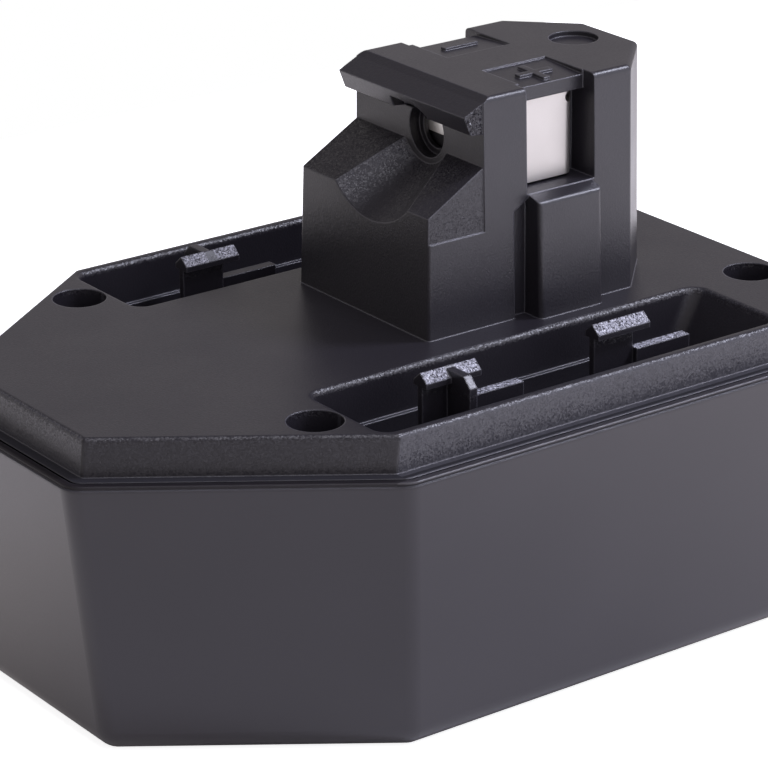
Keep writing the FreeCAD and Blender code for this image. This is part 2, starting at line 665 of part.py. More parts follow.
def sensor_bore():
    """The socket's mouth and its run through the hood's underside, and the narrower bore behind."""
    middle = S["bore_middle"]
    height = COVER_TOP + S["bore_height"]
    radius = S["bore_diameter"] / 2
    start = S["hood_nose"] - CLEAR
    face = S["head_front"]
    run = cylinder("bore_run", radius + S["bore_relief"], face - start, middle, start, height, ALONG_Y)
    mouth = cylinder("bore_mouth", radius, S["bore_mouth_depth"], middle, face, height, ALONG_Y)
    inner = cylinder("bore_inner", S["bore_inner"] / 2, S["carrier_front"] - face, middle, face, height,
                     ALONG_Y)
    return [run, mouth, inner]


def hood_slot():
    """A square notch in the hood's lower edge, which runs on a little into the head's front wall."""
    left = S["hood_slot_left"]
    under = COVER_TOP + S["hood_under"]
    return box("hood_slot", (left, left + S["hood_slot_length"]),
               (S["hood_nose"] - CLEAR, S["head_front"] + S["hood_slot_depth"]),
               (under, under + S["hood_slot_height"]))


def side_panel(side, name):
    """The grained panel of the front block, sunk a little into the side."""
    outer = S["stem_base_width"] / 2 + CLEAR
    foot = COVER_TOP + S["panel_foot"]
    lean = (S["stem_base_width"] - S["stem_top_width"]) / 2 / S["stem_height"]
    inner_foot = S["stem_base_width"] / 2 - lean * S["panel_foot"] - S["panel_depth"]
    inner_top = S["stem_top_width"] / 2 - S["panel_depth"]
    points = [(inner_foot, foot), (outer, foot), (outer, STEM_TOP + CLEAR), (inner_top, STEM_TOP + CLEAR)]
    front = S["stem_front_foot"] - CLEAR
    length = S["head_front"] - front
    return prism(name, "XZ_Plane", [(x * side, z) for x, z in points], -S["head_front"], length)


def window(side, name):
    outer = S["stem_base_width"] / 2 + CLEAR
    low, high = mirrored_limits(side, S["window_back"], outer)
    along = (S["window_front"], S["window_rear"])
    opening = box(f"{name}_opening", (low, high), along,
                  (COVER_TOP + S["window_sill"], COVER_TOP + S["lintel_foot"]))
    low, high = mirrored_limits(side, S["lintel_inset"], outer)
    lintel = box(f"{name}_lintel", (low, high), along, (COVER_TOP + S["lintel_foot"], STEM_TOP + CLEAR))
    return fuse(name, [opening, lintel])


def recess_floor(x_from_middle):
    """Height of the marked recess's sloping floor at a distance from the middle."""
    run = S["lintel_inset"] - S["recess_inner"]
    fall = (S["recess_depth"] - S["recess_step"]) * (x_from_middle - S["recess_inner"]) / run
    return STEM_TOP - S["recess_step"] - fall


def marked_recess(side, name):
    outer = S["stem_base_width"] / 2
    inner = S["recess_inner"]
    points = [(inner, recess_floor(inner)), (outer, recess_floor(outer)), (outer, STEM_TOP + CLEAR),
              (inner, STEM_TOP + CLEAR)]
    points = [(x * side, z) for x, z in points]
    return prism(name, "XZ_Plane", points, -S["recess_rear"], S["recess_rear"] - S["recess_front"])


def polarity_mark(side, name):
    """A cross on the + side and a bar on the - side, raised from the sloping floor."""
    middle = S["mark_across"] * side
    along = S["mark_along"]
    half_long = S["mark_length"] / 2
    half_wide = S["mark_width"] / 2
    low = STEM_TOP - S["recess_depth"] - CLEAR / 2
    stroke = box(f"{name}_stroke", (middle - half_wide, middle + half_wide),
                 (along - half_long, along + half_long), (low, STEM_TOP))
    strokes = [stroke]
    if side > 0:
        strokes.append(box(f"{name}_arm", (middle - half_long, middle + half_long),
                           (along - half_wide, along + half_wide), (low, STEM_TOP)))
    inner, outer = S["recess_inner"], S["lintel_inset"]
    relief = S["mark_height"]
    points = [(inner, low), (outer, low), (outer, recess_floor(outer) + relief),
              (inner, recess_floor(inner) + relief)]
    skin = prism(f"{name}_skin", "XZ_Plane", [(x * side, z) for x, z in points], -S["recess_rear"],
                 S["recess_rear"] - S["recess_front"])
    return common(name, fuse(f"{name}_strokes", strokes), skin)


def side_rib(side, name):
    inner = S["window_back"]
    top = COVER_TOP + S["window_sill"]
    points = [(inner, PLATE_UNDER), (S["rib_outer_foot"], PLATE_UNDER), (S["rib_outer_foot"], COVER_TOP),
              (S["rib_outer_top"], top - S["rib_shoulder"]), (S["stem_top_width"] / 2, top), (inner, top)]
    rib = prism(name, "XZ_Plane", [(x * side, z) for x, z in points], -S["rib_rear"],
                S["rib_rear"] - S["rib_front"])

    def outer_edge(edge):
        beyond = all(abs(vertex.Point.x) > S["stem_base_width"].value / 2 for vertex in edge.Vertexes)
        above = all(vertex.Point.z > COVER_TOP.value - NEAR for vertex in edge.Vertexes)
        return beyond and above and not level_at(edge, COVER_TOP.value)

    round_edges(rib, f"{name}_rounding", S["rib_edge"], outer_edge)
    return rib


def side_groove(side, name):
    outer = S["stem_base_width"] / 2 + CLEAR
    inner = S["stem_base_width"] / 2 - S["groove_depth"]
    front, rear = S["groove_front"], S["rib_front"]
    points = [(front, COVER_TOP), (rear, COVER_TOP), (rear, COVER_TOP + S["groove_top"] + S["groove_rise"]),
              (front, COVER_TOP + S["groove_top"])]
    low, high = mirrored_limits(side, inner, outer)
    return prism(name, "YZ_Plane", points, low, as_size(high) - low)


def stem_wells():
    """The two hollows inside the stem, one above the other."""
    rear = S["stem_well_rear"]
    half = S["stem_well_half"]
    lower = box("stem_well", (-half, half), (S["stem_well_front"], rear),
                (SPIGOT_FOOT, COVER_TOP + S["stem_well_top"]))
    half = S["head_well_half"]
    upper = box("head_well", (-half, half), (S["head_well_front"], rear),
                (COVER_TOP, COVER_TOP + S["head_well_top"]))
    return [lower, upper]


def tail_slot(side, name):
    """The slot in the back of a window through which the contact's tail runs inside."""
    gap = S["contact_clearance"]
    low, high = mirrored_limits(side, S["head_well_half"] - CLEAR, S["window_back"] + CLEAR)
    sill = COVER_TOP + S["window_sill"]
    return box(name, (low, high), (S["tail_front"] - gap, S["tail_rear"] + gap),
               (sill, sill + S["contact_foot"] + S["contact_thick"] + gap))


def make_upper_cover():
    flare = S["skirt_flare"]
    flared = outline(flare, flare, S["skirt_flare_side"], flare, flare)
    skin = tapered("cover_block", flared, SEAM_TOP, grown(0), COVER_TOP)
    skin = round_part("skin_upright_rounding", skin, S["cover_corner"], upright)
    skin = round_part("cover_skin", skin, S["cover_edge"], lambda edge: level_at(edge, COVER_TOP.value))
    rooms = fuse("pocket_rooms", both_sides("pocket_room", pocket_room))
    opened = cut("opened_skin", skin, rooms)
    rim_limit = HALF_WIDTH.value - S["cover_edge"].value - NEAR

    def on_rim(edge):
        inside = all(abs(vertex.Point.x) < rim_limit for vertex in edge.Vertexes)
        behind = all(vertex.Point.y > POCKET_FRONT.value - NEAR for vertex in edge.Vertexes)
        ahead = all(vertex.Point.y < POCKET_REAR.value + NEAR for vertex in edge.Vertexes)
        return level_at(edge, COVER_TOP.value) and inside and behind and ahead

    rimmed = round_part("rimmed_skin", opened, S["pocket_rim"], on_rim)
    under = tapered("cover_room", grown(-S["cover_wall"] + S["skirt_flare_side"]), SEAM_FLOOR,
                    grown(-S["cover_wall"]), PLATE_UNDER)
    shell = cut("cover_shell", rimmed, under)

    flange_inset = RIM_BEYOND_FLANGE
    flange = prism("cover_flange", "XY_Plane", seam_outline(flange_inset), SEAM_FLOOR, S["flange_thick"])
    round_edges(flange, "flange_upright_rounding", S["case_corner"] - flange_inset, upright)
    tongue_inset = S["rim_wall"] + S["spigot_clearance"]
    tongue = prism("cover_tongue", "XY_Plane", seam_outline(tongue_inset), SPIGOT_FOOT,
                   SEAM_TOP - SPIGOT_FOOT)
    ring_room = prism("ring_room", "XY_Plane", grown(-S["cover_wall"] + S["skirt_flare_side"]), SPIGOT_FOOT,
                      SEAM_TOP - SPIGOT_FOOT)
    ring = cut("cover_ring", fuse("ring_outside", [flange, tongue]), ring_room)

    seat = COVER_TOP - S["screw_well_depth"]
    wells = []
    bores = []
    for number, (x, y) in enumerate(screw_places(), start=1):
        foot = seat - S["screw_seat"]
        well_radius = S["screw_well"] / 2 + S["screw_well_wall"]
        bore_height = COVER_TOP + CLEAR - seat
        wells.append(cylinder(f"well_{number}", well_radius, PLATE_UNDER + CLEAR / 2 - foot, x, y, foot))
        bores.append(cylinder(f"well_bore_{number}", S["screw_well"] / 2, bore_height, x, y, seat))
        bores.append(cylinder(f"well_hole_{number}", S["screw_hole"] / 2, seat - foot, x, y, foot))

    solids = [shell, ring, make_stem_block()] + wells
    solids += both_sides("tub", pocket_tub)
    solids += both_sides("rib", side_rib)
    solid = fuse("cover_solid", solids)
    missing = [rooms, head_step(), trough(), hood_slot()] + bores + sensor_bore() + stem_wells()
    missing += both_sides("panel", side_panel)
    missing += both_sides("window", window)
    missing += both_sides("recess", marked_recess)
    missing += both_sides("groove", side_groove)
    missing += both_sides("tail_slot", tail_slot)
    dimple_height = S["dimple_depth"] + CLEAR
    missing.append(cylinder("dimple", S["dimple_diameter"] / 2, dimple_height, S["dimple_middle"],
                            S["dimple_along"], STEM_TOP - S["dimple_depth"]))
    bare = cut("cover_bare", solid, fuse("cover_missing", missing))
    extras = []
    for side, word in ((1, "near"), (-1, "far")):
        extras += make_hook(side, f"front_hook_{word}", FRONT_HOOK)
        extras += make_hook(side, f"rear_hook_{word}", REAR_HOOK)
    extras += both_sides("gusset", make_gusset)
    extras += both_sides("mark", polarity_mark)
    return fuse("upper_cover", [bare] + extras)


# Case screws: they go down the wells of the cover into the bosses of the lower case.
def make_screws():
    seat = COVER_TOP - S["screw_well_depth"]
    screws = []
    for number, (x, y) in enumerate(screw_places(), start=1):
        length = S["screw_length"]
        shank = cylinder(f"screw_{number}_shank", S["screw_shank"] / 2, length, x, y, seat - length)
        head = cylinder(f"screw_{number}_head", S["screw_head"] / 2, S["screw_head_height"], x, y, seat)
        reach = S["screw_recess"] / 2
        half = S["screw_recess_slot"] / 2
        top = seat + S["screw_head_height"]
        level = (top - S["screw_recess_depth"], top)
        slots = [
            box(f"screw_{number}_slot_across", (x - reach, x + reach), (y - half, y + half), level),
            box(f"screw_{number}_slot_along", (x - half, x + half), (y - reach, y + reach), level),
        ]
        blank = fuse(f"screw_{number}_blank", [shank, head])
        screws.append(cut(f"screw_{number}", blank, fuse(f"screw_{number}_recess", slots)))
    group = doc.addObject("Part::Compound", "case_screws")
    group.Links = screws
    return group


# Cells: sixteen in series, the two middle columns longer than the outer ones.
FLOOR_OF_CELLS = S["base_floor"] + S["pad_thick"] + S["link_thick"]
SHEET_UNDER = TUB_UNDER - S["sheet_clearance"] - S["sheet_thick"]
TOP_OF_CELLS = SHEET_UNDER - S["link_thick"]
CELL_HEIGHT = TOP_OF_CELLS - FLOOR_OF_CELLS

# The cells are the largest that fit both across the case (four columns) and along it (five rows).
COLUMNS = 4
ROWS = 5
ROOM_SIDE = HALF_WIDTH + RIM_SIDE - S["draft_side"] - S["base_wall"]
ROOM_FRONT = HALF_LENGTH + RIM_END - S["draft_front"] - S["base_wall"]
ROOM_REAR = HALF_LENGTH + RIM_END - S["draft_rear"] - S["base_wall"]
ACROSS = (ROOM_SIDE - S["stack_clearance"]) * 2 - S["cell_gap"] * (COLUMNS - 1)
ALONG = ROOM_FRONT + ROOM_REAR - S["stack_front"] - S["stack_rear"] - S["cell_gap"] * (ROWS - 1)
SLEEVE_RADIUS = smaller(ACROSS / (COLUMNS * 2), ALONG / (ROWS * 2))
CELL_RADIUS = SLEEVE_RADIUS - S["sleeve_wall"] - S["sleeve_gap"]
CELL_PITCH = SLEEVE_RADIUS * 2 + S["cell_gap"]

# The order of the cells from + to -, as column and row; the columns count from the far side.
CHAIN = [(2, 3), (2, 4), (3, 4), (3, 3), (3, 2), (2, 2), (2, 1), (2, 0),
         (1, 0), (1, 1), (1, 2), (0, 2), (0, 3), (0, 4), (1, 4), (1, 3)]
MIDDLE_COLUMN = (COLUMNS - 1) / 2
MIDDLE_ROW = (ROOM_REAR - S["stack_rear"] - ROOM_FRONT + S["stack_front"]) / 2
FIRST_ROW = MIDDLE_ROW - CELL_PITCH * ((ROWS - 1) / 2)


def cell_place(column, row):
    return CELL_PITCH * (column - MIDDLE_COLUMN), FIRST_ROW + CELL_PITCH * row


def make_cell(number, x, y, plus_up):
    """A can with a rolled groove near its + end, and the button on that end."""
    name = f"cell_{number:02d}"
    can_height = CELL_HEIGHT - S["cell_button_height"]
    foot = FLOOR_OF_CELLS if plus_up else FLOOR_OF_CELLS + S["cell_button_height"]
    button_foot = foot + can_height if plus_up else FLOOR_OF_CELLS
    groove_level = foot + can_height - S["can_groove_place"] if plus_up else foot + S["can_groove_place"]
    can = cylinder(f"{name}_can", CELL_RADIUS, can_height, x, y, foot)
    button = cylinder(f"{name}_button", S["cell_button_radius"], S["cell_button_height"], x, y, button_foot)
    groove = doc.addObject("Part::Torus", f"{name}_groove")
    bind(groove, "Radius1", CELL_RADIUS)
    bind(groove, "Radius2", S["can_groove"])
    place_at(groove, x, y, groove_level)
    return cut(name, fuse(f"{name}_blank", [can, button]), groove)


def make_sleeve(number, x, y):
    name = f"cell_sleeve_{number:02d}"
    inner = CELL_RADIUS + S["sleeve_gap"]
    height = CELL_HEIGHT - S["cell_button_height"] * 2
    foot = FLOOR_OF_CELLS + S["cell_button_height"]
    outside = cylinder(f"{name}_outside", SLEEVE_RADIUS, height, x, y, foot)
    inside = cylinder(f"{name}_inside", inner, height, x, y, foot)
    return cut(name, outside, inside)


def link_between(name, first, second, foot):
    half = S["link_width"] / 2
    limits = []
    for a, b in zip(cell_place(*first), cell_place(*second)):
        if abs(a.value - b.value) < NEAR:
            limits.append((a - half, a + half))
        else:
            low, high = (a, b) if a.value < b.value else (b, a)
            limits.append((low - S["link_end"], high + S["link_end"]))
    return box(name, limits[0], limits[1], (foot, foot + S["link_thick"]))


def make_links():
    top, bottom = [], []
    for number, (first, second) in enumerate(zip(CHAIN, CHAIN[1:]), start=1):
        at_top = number % 2 == 0
        foot = TOP_OF_CELLS if at_top else FLOOR_OF_CELLS - S["link_thick"]
        strap = link_between(f"link_{number:02d}", first, second, foot)
        (top if at_top else bottom).append(strap)
    groups = []
    for name, straps in (("top_links", top), ("bottom_links", bottom)):
        group = doc.addObject("Part::Compound", name)
        group.Links = straps
        groups.append(group)
    return groups


def stack_outline():
    """A card outline that follows the block of cells."""
    margin = CELL_RADIUS + S["sheet_margin"]
    narrow = CELL_PITCH / 2 + margin
    wide = CELL_PITCH * MIDDLE_COLUMN + margin
    front = FIRST_ROW - margin
    shoulder = MIDDLE_ROW - margin
    rear = FIRST_ROW + CELL_PITCH * (ROWS - 1) + margin
    right = [(narrow, front), (narrow, shoulder), (wide, shoulder), (wide, rear - margin),
             (wide - margin, rear)]
    return right + [(-x, y) for x, y in reversed(right)]


def lead_limits():
    middle = (S["tail_front"] + S["tail_rear"]) / 2
    half = S["lead_width"] / 2
    return middle - half, middle + half


def make_top_insulator():
    card = prism("top_card", "XY_Plane", stack_outline(), SHEET_UNDER, S["sheet_thick"])
    gap = S["slot_clearance"]
    front, rear = lead_limits()
    top = SHEET_UNDER + S["sheet_thick"]
    holes = []
    for side, word in ((1, "near"), (-1, "far")):
        low, high = mirrored_limits(side, S["tail_inner"] - S["lead_thick"] - gap, S["tail_inner"] + gap)
        holes.append(box(f"card_slot_{word}", (low, high), (front - gap, rear + gap), (SHEET_UNDER, top)))
    wire_radius = S["wire_radius"] + gap
    holes.append(cylinder("card_hole", wire_radius, S["sheet_thick"], 0, sensor_gap(), SHEET_UNDER))
    return cut("top_insulator", card, fuse("card_holes", holes))


def make_bottom_insulator():
    return prism("bottom_insulator", "XY_Plane", stack_outline(), S["base_floor"], S["pad_thick"])


# Contacts: strips of plated sheet in the windows, bent back behind, with tails that run inside.
SENSOR_TAIL_MIDDLE = S["bore_middle"] + S["sensor_tail_shift"]


def make_contact(side, name):
    sill = COVER_TOP + S["window_sill"]
    gap = S["contact_clearance"]
    thick = S["contact_thick"]
    face = S["lintel_inset"] - gap * 2
    front = S["window_front"] + gap
    rear = S["contact_rear"]
    foot = sill + S["contact_foot"]
    top = COVER_TOP + S["lintel_foot"] - gap
    inside = face - thick
    end = S["window_back"] + gap
    plan = [(face, front), (face, rear), (end, rear), (end, rear - thick), (inside, rear - thick),
            (inside, front)]
    strip = prism(f"{name}_strip", "XY_Plane", [(x * side, y) for x, y in plan], foot, top - foot)
    for corner, place, radius in (("outer", (face, rear), S["contact_bend"]),
                                  ("inner", (inside, rear - thick), S["contact_bend"] - thick)):
        wanted = FreeCAD.Vector(place[0].value * side, place[1].value, 0)

        def at_corner(edge):
            on_plan = [FreeCAD.Vector(vertex.Point.x, vertex.Point.y, 0) for vertex in edge.Vertexes]
            return all(point.distanceToPoint(wanted) < NEAR for point in on_plan)

        round_edges(strip, f"{name}_{corner}_bend", radius, at_corner)
    low, high = mirrored_limits(side, end - gap, face + gap)
    notch_middle = rear - S["contact_notch_inset"]
    notch_height = top - S["contact_notch_drop"]
    notch = cylinder(f"{name}_notch", S["contact_notch"] / 2, high - low, low, notch_middle, notch_height,
                     ALONG_X)
    inner = S["tail_inner"]
    along = (S["tail_front"], S["tail_rear"])
    tail = box(f"{name}_tail", mirrored_limits(side, inner, face), along, (foot, foot + thick))
    leg = box(f"{name}_leg", mirrored_limits(side, inner, inner + thick), along,
              (COVER_TOP + S["tail_foot"], foot + thick))
    return fuse(name, [cut(f"{name}_notched", strip, notch), tail, leg])


def make_carrier():
    gap = S["carrier_clearance"]
    half = S["head_well_half"] - gap
    foot = COVER_TOP + S["window_sill"] + S["contact_foot"] + S["contact_thick"]
    return box("contact_carrier", (-half, half), (S["carrier_front"], S["stem_well_rear"] - gap),
               (foot, COVER_TOP + S["head_well_top"] - gap))


def make_sensor_contact():
    middle = S["bore_middle"]
    half = S["sensor_width"] / 2
    foot = COVER_TOP + S["sensor_foot"]
    rear = S["carrier_front"]
    front = rear - S["sensor_thick"]
    plate = box("sensor_plate", (middle - half, middle + half), (front, rear),
                (foot, foot + S["sensor_height"]))
    middle = SENSOR_TAIL_MIDDLE
    half = S["sensor_tail"] / 2
    tail = box("sensor_tail", (middle - half, middle + half), (front, rear),
               (COVER_TOP + S["sensor_tail_foot"], foot))
    return fuse("sensor_contact", [plate, tail])


def make_power_lead(side, name):
    """A strip from the top of an end cell up to the tail of its contact."""
    front, rear = lead_limits()
    inner = S["tail_inner"] - S["lead_thick"]
    low, high = mirrored_limits(side, inner, S["tail_inner"])
    riser = box(f"{name}_riser", (low, high), (front, rear),
                (TOP_OF_CELLS, COVER_TOP + S["tail_foot"] + S["lead_lap"]))
    low, high = mirrored_limits(side, inner, inner + S["lead_foot"])
    foot = box(f"{name}_foot", (low, high), (front, rear), (TOP_OF_CELLS, TOP_OF_CELLS + S["link_thick"]))
    return fuse(name, [riser, foot])


# Sensor line: a bead between four cells, with one wire up to the third contact.
def sensor_gap():
    return FIRST_ROW + CELL_PITCH * 5 / 2


def make_sensor_wire():
    radius = S["wire_radius"]
    top = (SENSOR_TAIL_MIDDLE, S["carrier_front"] - S["sensor_thick"] - radius)
    lap = COVER_TOP + S["sensor_tail_foot"] + S["lead_lap"]
    bend_top = COVER_TOP + S["wire_bend"]
    bend_foot = COVER_TOP
    bottom = (as_size(0), sensor_gap())
    head = cylinder("wire_head", radius, lap - bend_top, top[0], top[1], bend_top)
    foot = cylinder("wire_foot", radius, bend_foot - SHEET_UNDER, bottom[0], bottom[1], SHEET_UNDER)
    low = FreeCAD.Vector(bottom[0].value, bottom[1].value, bend_foot.value)
    high = FreeCAD.Vector(top[0].value, top[1].value, bend_top.value)
    slant = doc.addObject("Part::Cylinder", "wire_slant")
    slant.Placement = FreeCAD.Placement(low, FreeCAD.Rotation(FreeCAD.Vector(0, 0, 1), high - low))
    bind(slant, "Radius", radius)
    slant.Height = (high - low).Length
    joints = []
    for word, (x, y), z in (("upper", top, bend_top), ("lower", bottom, bend_foot)):
        joint = doc.addObject("Part::Sphere", f"wire_{word}_bend")
        bind(joint, "Radius", radius)
        place_at(joint, x, y, z)
        joints.append(joint)
    return fuse("sensor_wire", [head, slant, foot] + joints)


def make_thermistor():
    length = S["thermistor_length"]
    return cylinder("thermistor", S["thermistor_radius"], length, 0, sensor_gap(), SHEET_UNDER - length)


def make_cutout():
    half = S["cutout_width"] / 2
    middle = sensor_gap() + CELL_PITCH
    half_height = S["cutout_height"] / 2
    return box("thermal_cutout", (-half, half), (middle - half_height, middle + half_height),
               (SHEET_UNDER - S["cutout_length"], SHEET_UNDER))


def make_foam():
    half = S["foam_width"] / 2
    gap = S["foam_clearance"]
    front = FIRST_ROW + CELL_PITCH * (ROWS - 1) + SLEEVE_RADIUS + gap
    return box("foam_block", (-half, half), (front, ROOM_REAR - gap), (S["base_floor"], SHEET_UNDER))


nodes = {
    "lower_case": make_lower_case(),
    "upper_cover": make_upper_cover(),
    "case_screws": make_screws(),
    "contact_carrier": make_carrier(),
    "positive_contact": make_contact(1, "positive_contact"),
    "negative_contact": make_contact(-1, "negative_contact"),
    "sensor_contact": make_sensor_contact(),
    "positive_lead": make_power_lead(1, "positive_lead"),
    "negative_lead": make_power_lead(-1, "negative_lead"),
    "sensor_wire": make_sensor_wire(),
    "thermistor": make_thermistor(),
    "thermal_cutout": make_cutout(),
    "top_insulator": make_top_insulator(),
    "bottom_insulator": make_bottom_insulator(),
    "foam_block": make_foam(),
}
nodes["top_links"], nodes["bottom_links"] = make_links()
for number, (column, row) in enumerate(CHAIN, start=1):
    x, y = cell_place(column, row)
    nodes[f"cell_{number:02d}"] = make_cell(number, x, y, number % 2 == 1)
    nodes[f"cell_sleeve_{number:02d}"] = make_sleeve(number, x, y)

doc.recompute()
for item in doc.Objects:
    if "Invalid" in item.State or "Error" in item.State:
        raise ValueError(f"{item.Name} did not build: {item.State}")
for name, item in nodes.items():
    item.Label = name
    if item.Shape.isNull() or not item.Shape.isValid():
        raise ValueError(f"{name} is not a valid shape")
    count = len(item.Shape.Solids)
    if count < 1:
        raise ValueError(f"{name} has no solid")

os.makedirs("parts", exist_ok=True)
for name, item in nodes.items():
    item.Shape.exportStep(f"parts/{name}.step")
    limits = item.Shape.BoundBox
    print(name, len(item.Shape.Solids), "solids,", round(item.Shape.Volume), "mm3,",
          round(limits.XLength, 2), round(limits.YLength, 2), round(limits.ZLength, 2))
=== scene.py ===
import math

import bpy
from mathutils import Matrix, Vector

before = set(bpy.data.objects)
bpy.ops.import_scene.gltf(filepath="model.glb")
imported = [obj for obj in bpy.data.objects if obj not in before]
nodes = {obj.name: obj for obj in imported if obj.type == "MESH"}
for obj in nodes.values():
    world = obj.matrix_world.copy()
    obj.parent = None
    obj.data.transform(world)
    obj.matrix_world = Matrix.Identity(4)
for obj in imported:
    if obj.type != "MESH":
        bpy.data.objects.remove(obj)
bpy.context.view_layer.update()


# Lower case: a deep tub with eight drafted walls, moulded in glass-filled black nylon.
# The mould was polished, so the walls are satin and carry soft reflections of the table,
# faintly wavy because thick nylon sinks as it cools. Painted shade darkens its lip and the
# fine step under it, and a painted highlight pales its rounded edges.
MM = 0.001


def linear(hex_colour):
    """An sRGB hex colour as the linear values that a shader takes."""
    digits = hex_colour.lstrip("#")
    parts = [int(digits[place:place + 2], 16) / 255 for place in (0, 2, 4)]
    return [part / 12.92 if part <= 0.04045 else ((part + 0.055) / 1.055) ** 2.4 for part in parts] + [1.0]


def add(tree, kind, settings=None, links=None):
    """Adds one shader node; settings name its options or sockets, links join outputs to its sockets."""
    node = tree.nodes.new(kind)
    for name, value in (settings or {}).items():
        if isinstance(name, int) or name in node.inputs:
            node.inputs[name].default_value = value
        else:
            setattr(node, name, value)
    for name, source in (links or {}).items():
        tree.links.new(source, node.inputs[name])
    return node


def per_metre(size_mm):
    """Texture scale for a feature of this size, because the coordinates are in metres."""
    return 1 / (size_mm * MM)


def new_material(name):
    material = bpy.data.materials.new(name)
    material.use_nodes = True
    material.node_tree.nodes.clear()
    return material, material.node_tree


def dress(node_name, material):
    """Gives a carried-over CAD node its finish."""
    piece = nodes[node_name]
    piece.data.materials.clear()
    piece.data.materials.append(material)


def measures(tree):
    """Where a point is in mm: across from the middle, to the right side, along to the rear, and how high.

    near, ahead and up are how far its face turns to the right side, to the rear and upwards."""
    place = add(tree, "ShaderNodeTexCoord").outputs["Object"]
    in_mm = add(tree, "ShaderNodeVectorMath", {"operation": "SCALE", "Scale": 1 / MM}, {0: place})
    spot = add(tree, "ShaderNodeSeparateXYZ", {}, {"Vector": in_mm.outputs["Vector"]}).outputs
    across = add(tree, "ShaderNodeMath", {"operation": "ABSOLUTE"}, {0: spot["X"]})
    facing = add(tree, "ShaderNodeNewGeometry").outputs["Normal"]
    turned = add(tree, "ShaderNodeSeparateXYZ", {}, {"Vector": facing}).outputs
    return {"across": across.outputs["Value"], "side": spot["X"], "along": spot["Y"], "level": spot["Z"],
            "near": turned["X"], "ahead": turned["Y"], "up": turned["Z"]}


def inside(tree, measured, patch):
    """1 where each measure that the patch names lies between its two limits, otherwise 0."""
    mask = None
    for name, (low, high) in patch.items():
        limits = {"operation": "COMPARE", 1: (low + high) / 2, 2: (high - low) / 2}
        held = add(tree, "ShaderNodeMath", limits, {0: measured[name]}).outputs["Value"]
        links = {0: held} if mask is None else {0: held, 1: mask}
        mask = add(tree, "ShaderNodeMath", {"operation": "MULTIPLY", 1: 1.0}, links).outputs["Value"]
    return mask


def strongest(tree, measured, patches):
    """The largest value among the patches that hold a point, or 0 where none does."""
    largest = None
    for value, patch in patches:
        here = add(tree, "ShaderNodeMath", {"operation": "MULTIPLY", 1: value},
                   {0: inside(tree, measured, patch)}).outputs["Value"]
        links = {0: here} if largest is None else {0: here, 1: largest}
        largest = add(tree, "ShaderNodeMath", {"operation": "MAXIMUM", 1: 0.0}, links).outputs["Value"]
    return largest


def edge_shine(tree, bevelled, flat):
    """1 where the rounding of an edge turns the surface away from its flat neighbours; the painted edge
    highlight goes there.
    """
    agreement = add(tree, "ShaderNodeVectorMath", {"operation": "DOT_PRODUCT"}, {0: bevelled, 1: flat})
    return add(tree, "ShaderNodeMapRange",
               {"From Min": EDGE_AGREES[0], "From Max": EDGE_AGREES[1], "To Min": 0.0, "To Max": 1.0},
               {"Value": agreement.outputs["Value"]}).outputs["Result"]


EDGE_AGREES = (0.9985, 0.92)
CASE_BLACK = "#231f24"
CASE_PALE = "#2b272c"
CASE_GLOSS = (0.33, 0.42)
CASE_WAVE_MM = 22.0
CASE_SPECKLE_MM = 0.3
CASE_WAVE_RELIEF_MM = 0.15
CASE_SPECKLE_RELIEF_MM = 0.02
CASE_EDGE_MM = 0.3
# Pale colour for a painted highlight along every rounded edge of the nylon, convex or concave.
PAINTED_EDGE_HIGHLIGHT = "#4c4b52"
# Near-black for the painted shade in the seam, on the case's lip and step and on the cover's flange.
SEAM_PAINTED_SHADE = "#0b0a0c"
NYLON_IOR = 1.56

# How much of the nylon the painted shade hides, and where: a patch gives the limits of its
# measures, and a limit of 60 across or 80 along lies outside the pack, so it is open.
ENDS_ACROSS = (-0.1, 47.8)
LONG_SIDES_ACROSS = (47.8, 60.0)
LIP_PAINTED_SHADE = [
    (0.12, {"level": (43.5, 43.92)}),
    (0.4, {"level": (43.92, 44.35), "across": ENDS_ACROSS}),
    (0.5, {"level": (44.35, 44.6), "across": ENDS_ACROSS}),
    (0.55, {"level": (43.95, 44.22), "across": LONG_SIDES_ACROSS}),
    (0.3, {"level": (43.8, 43.95), "across": LONG_SIDES_ACROSS}),
]


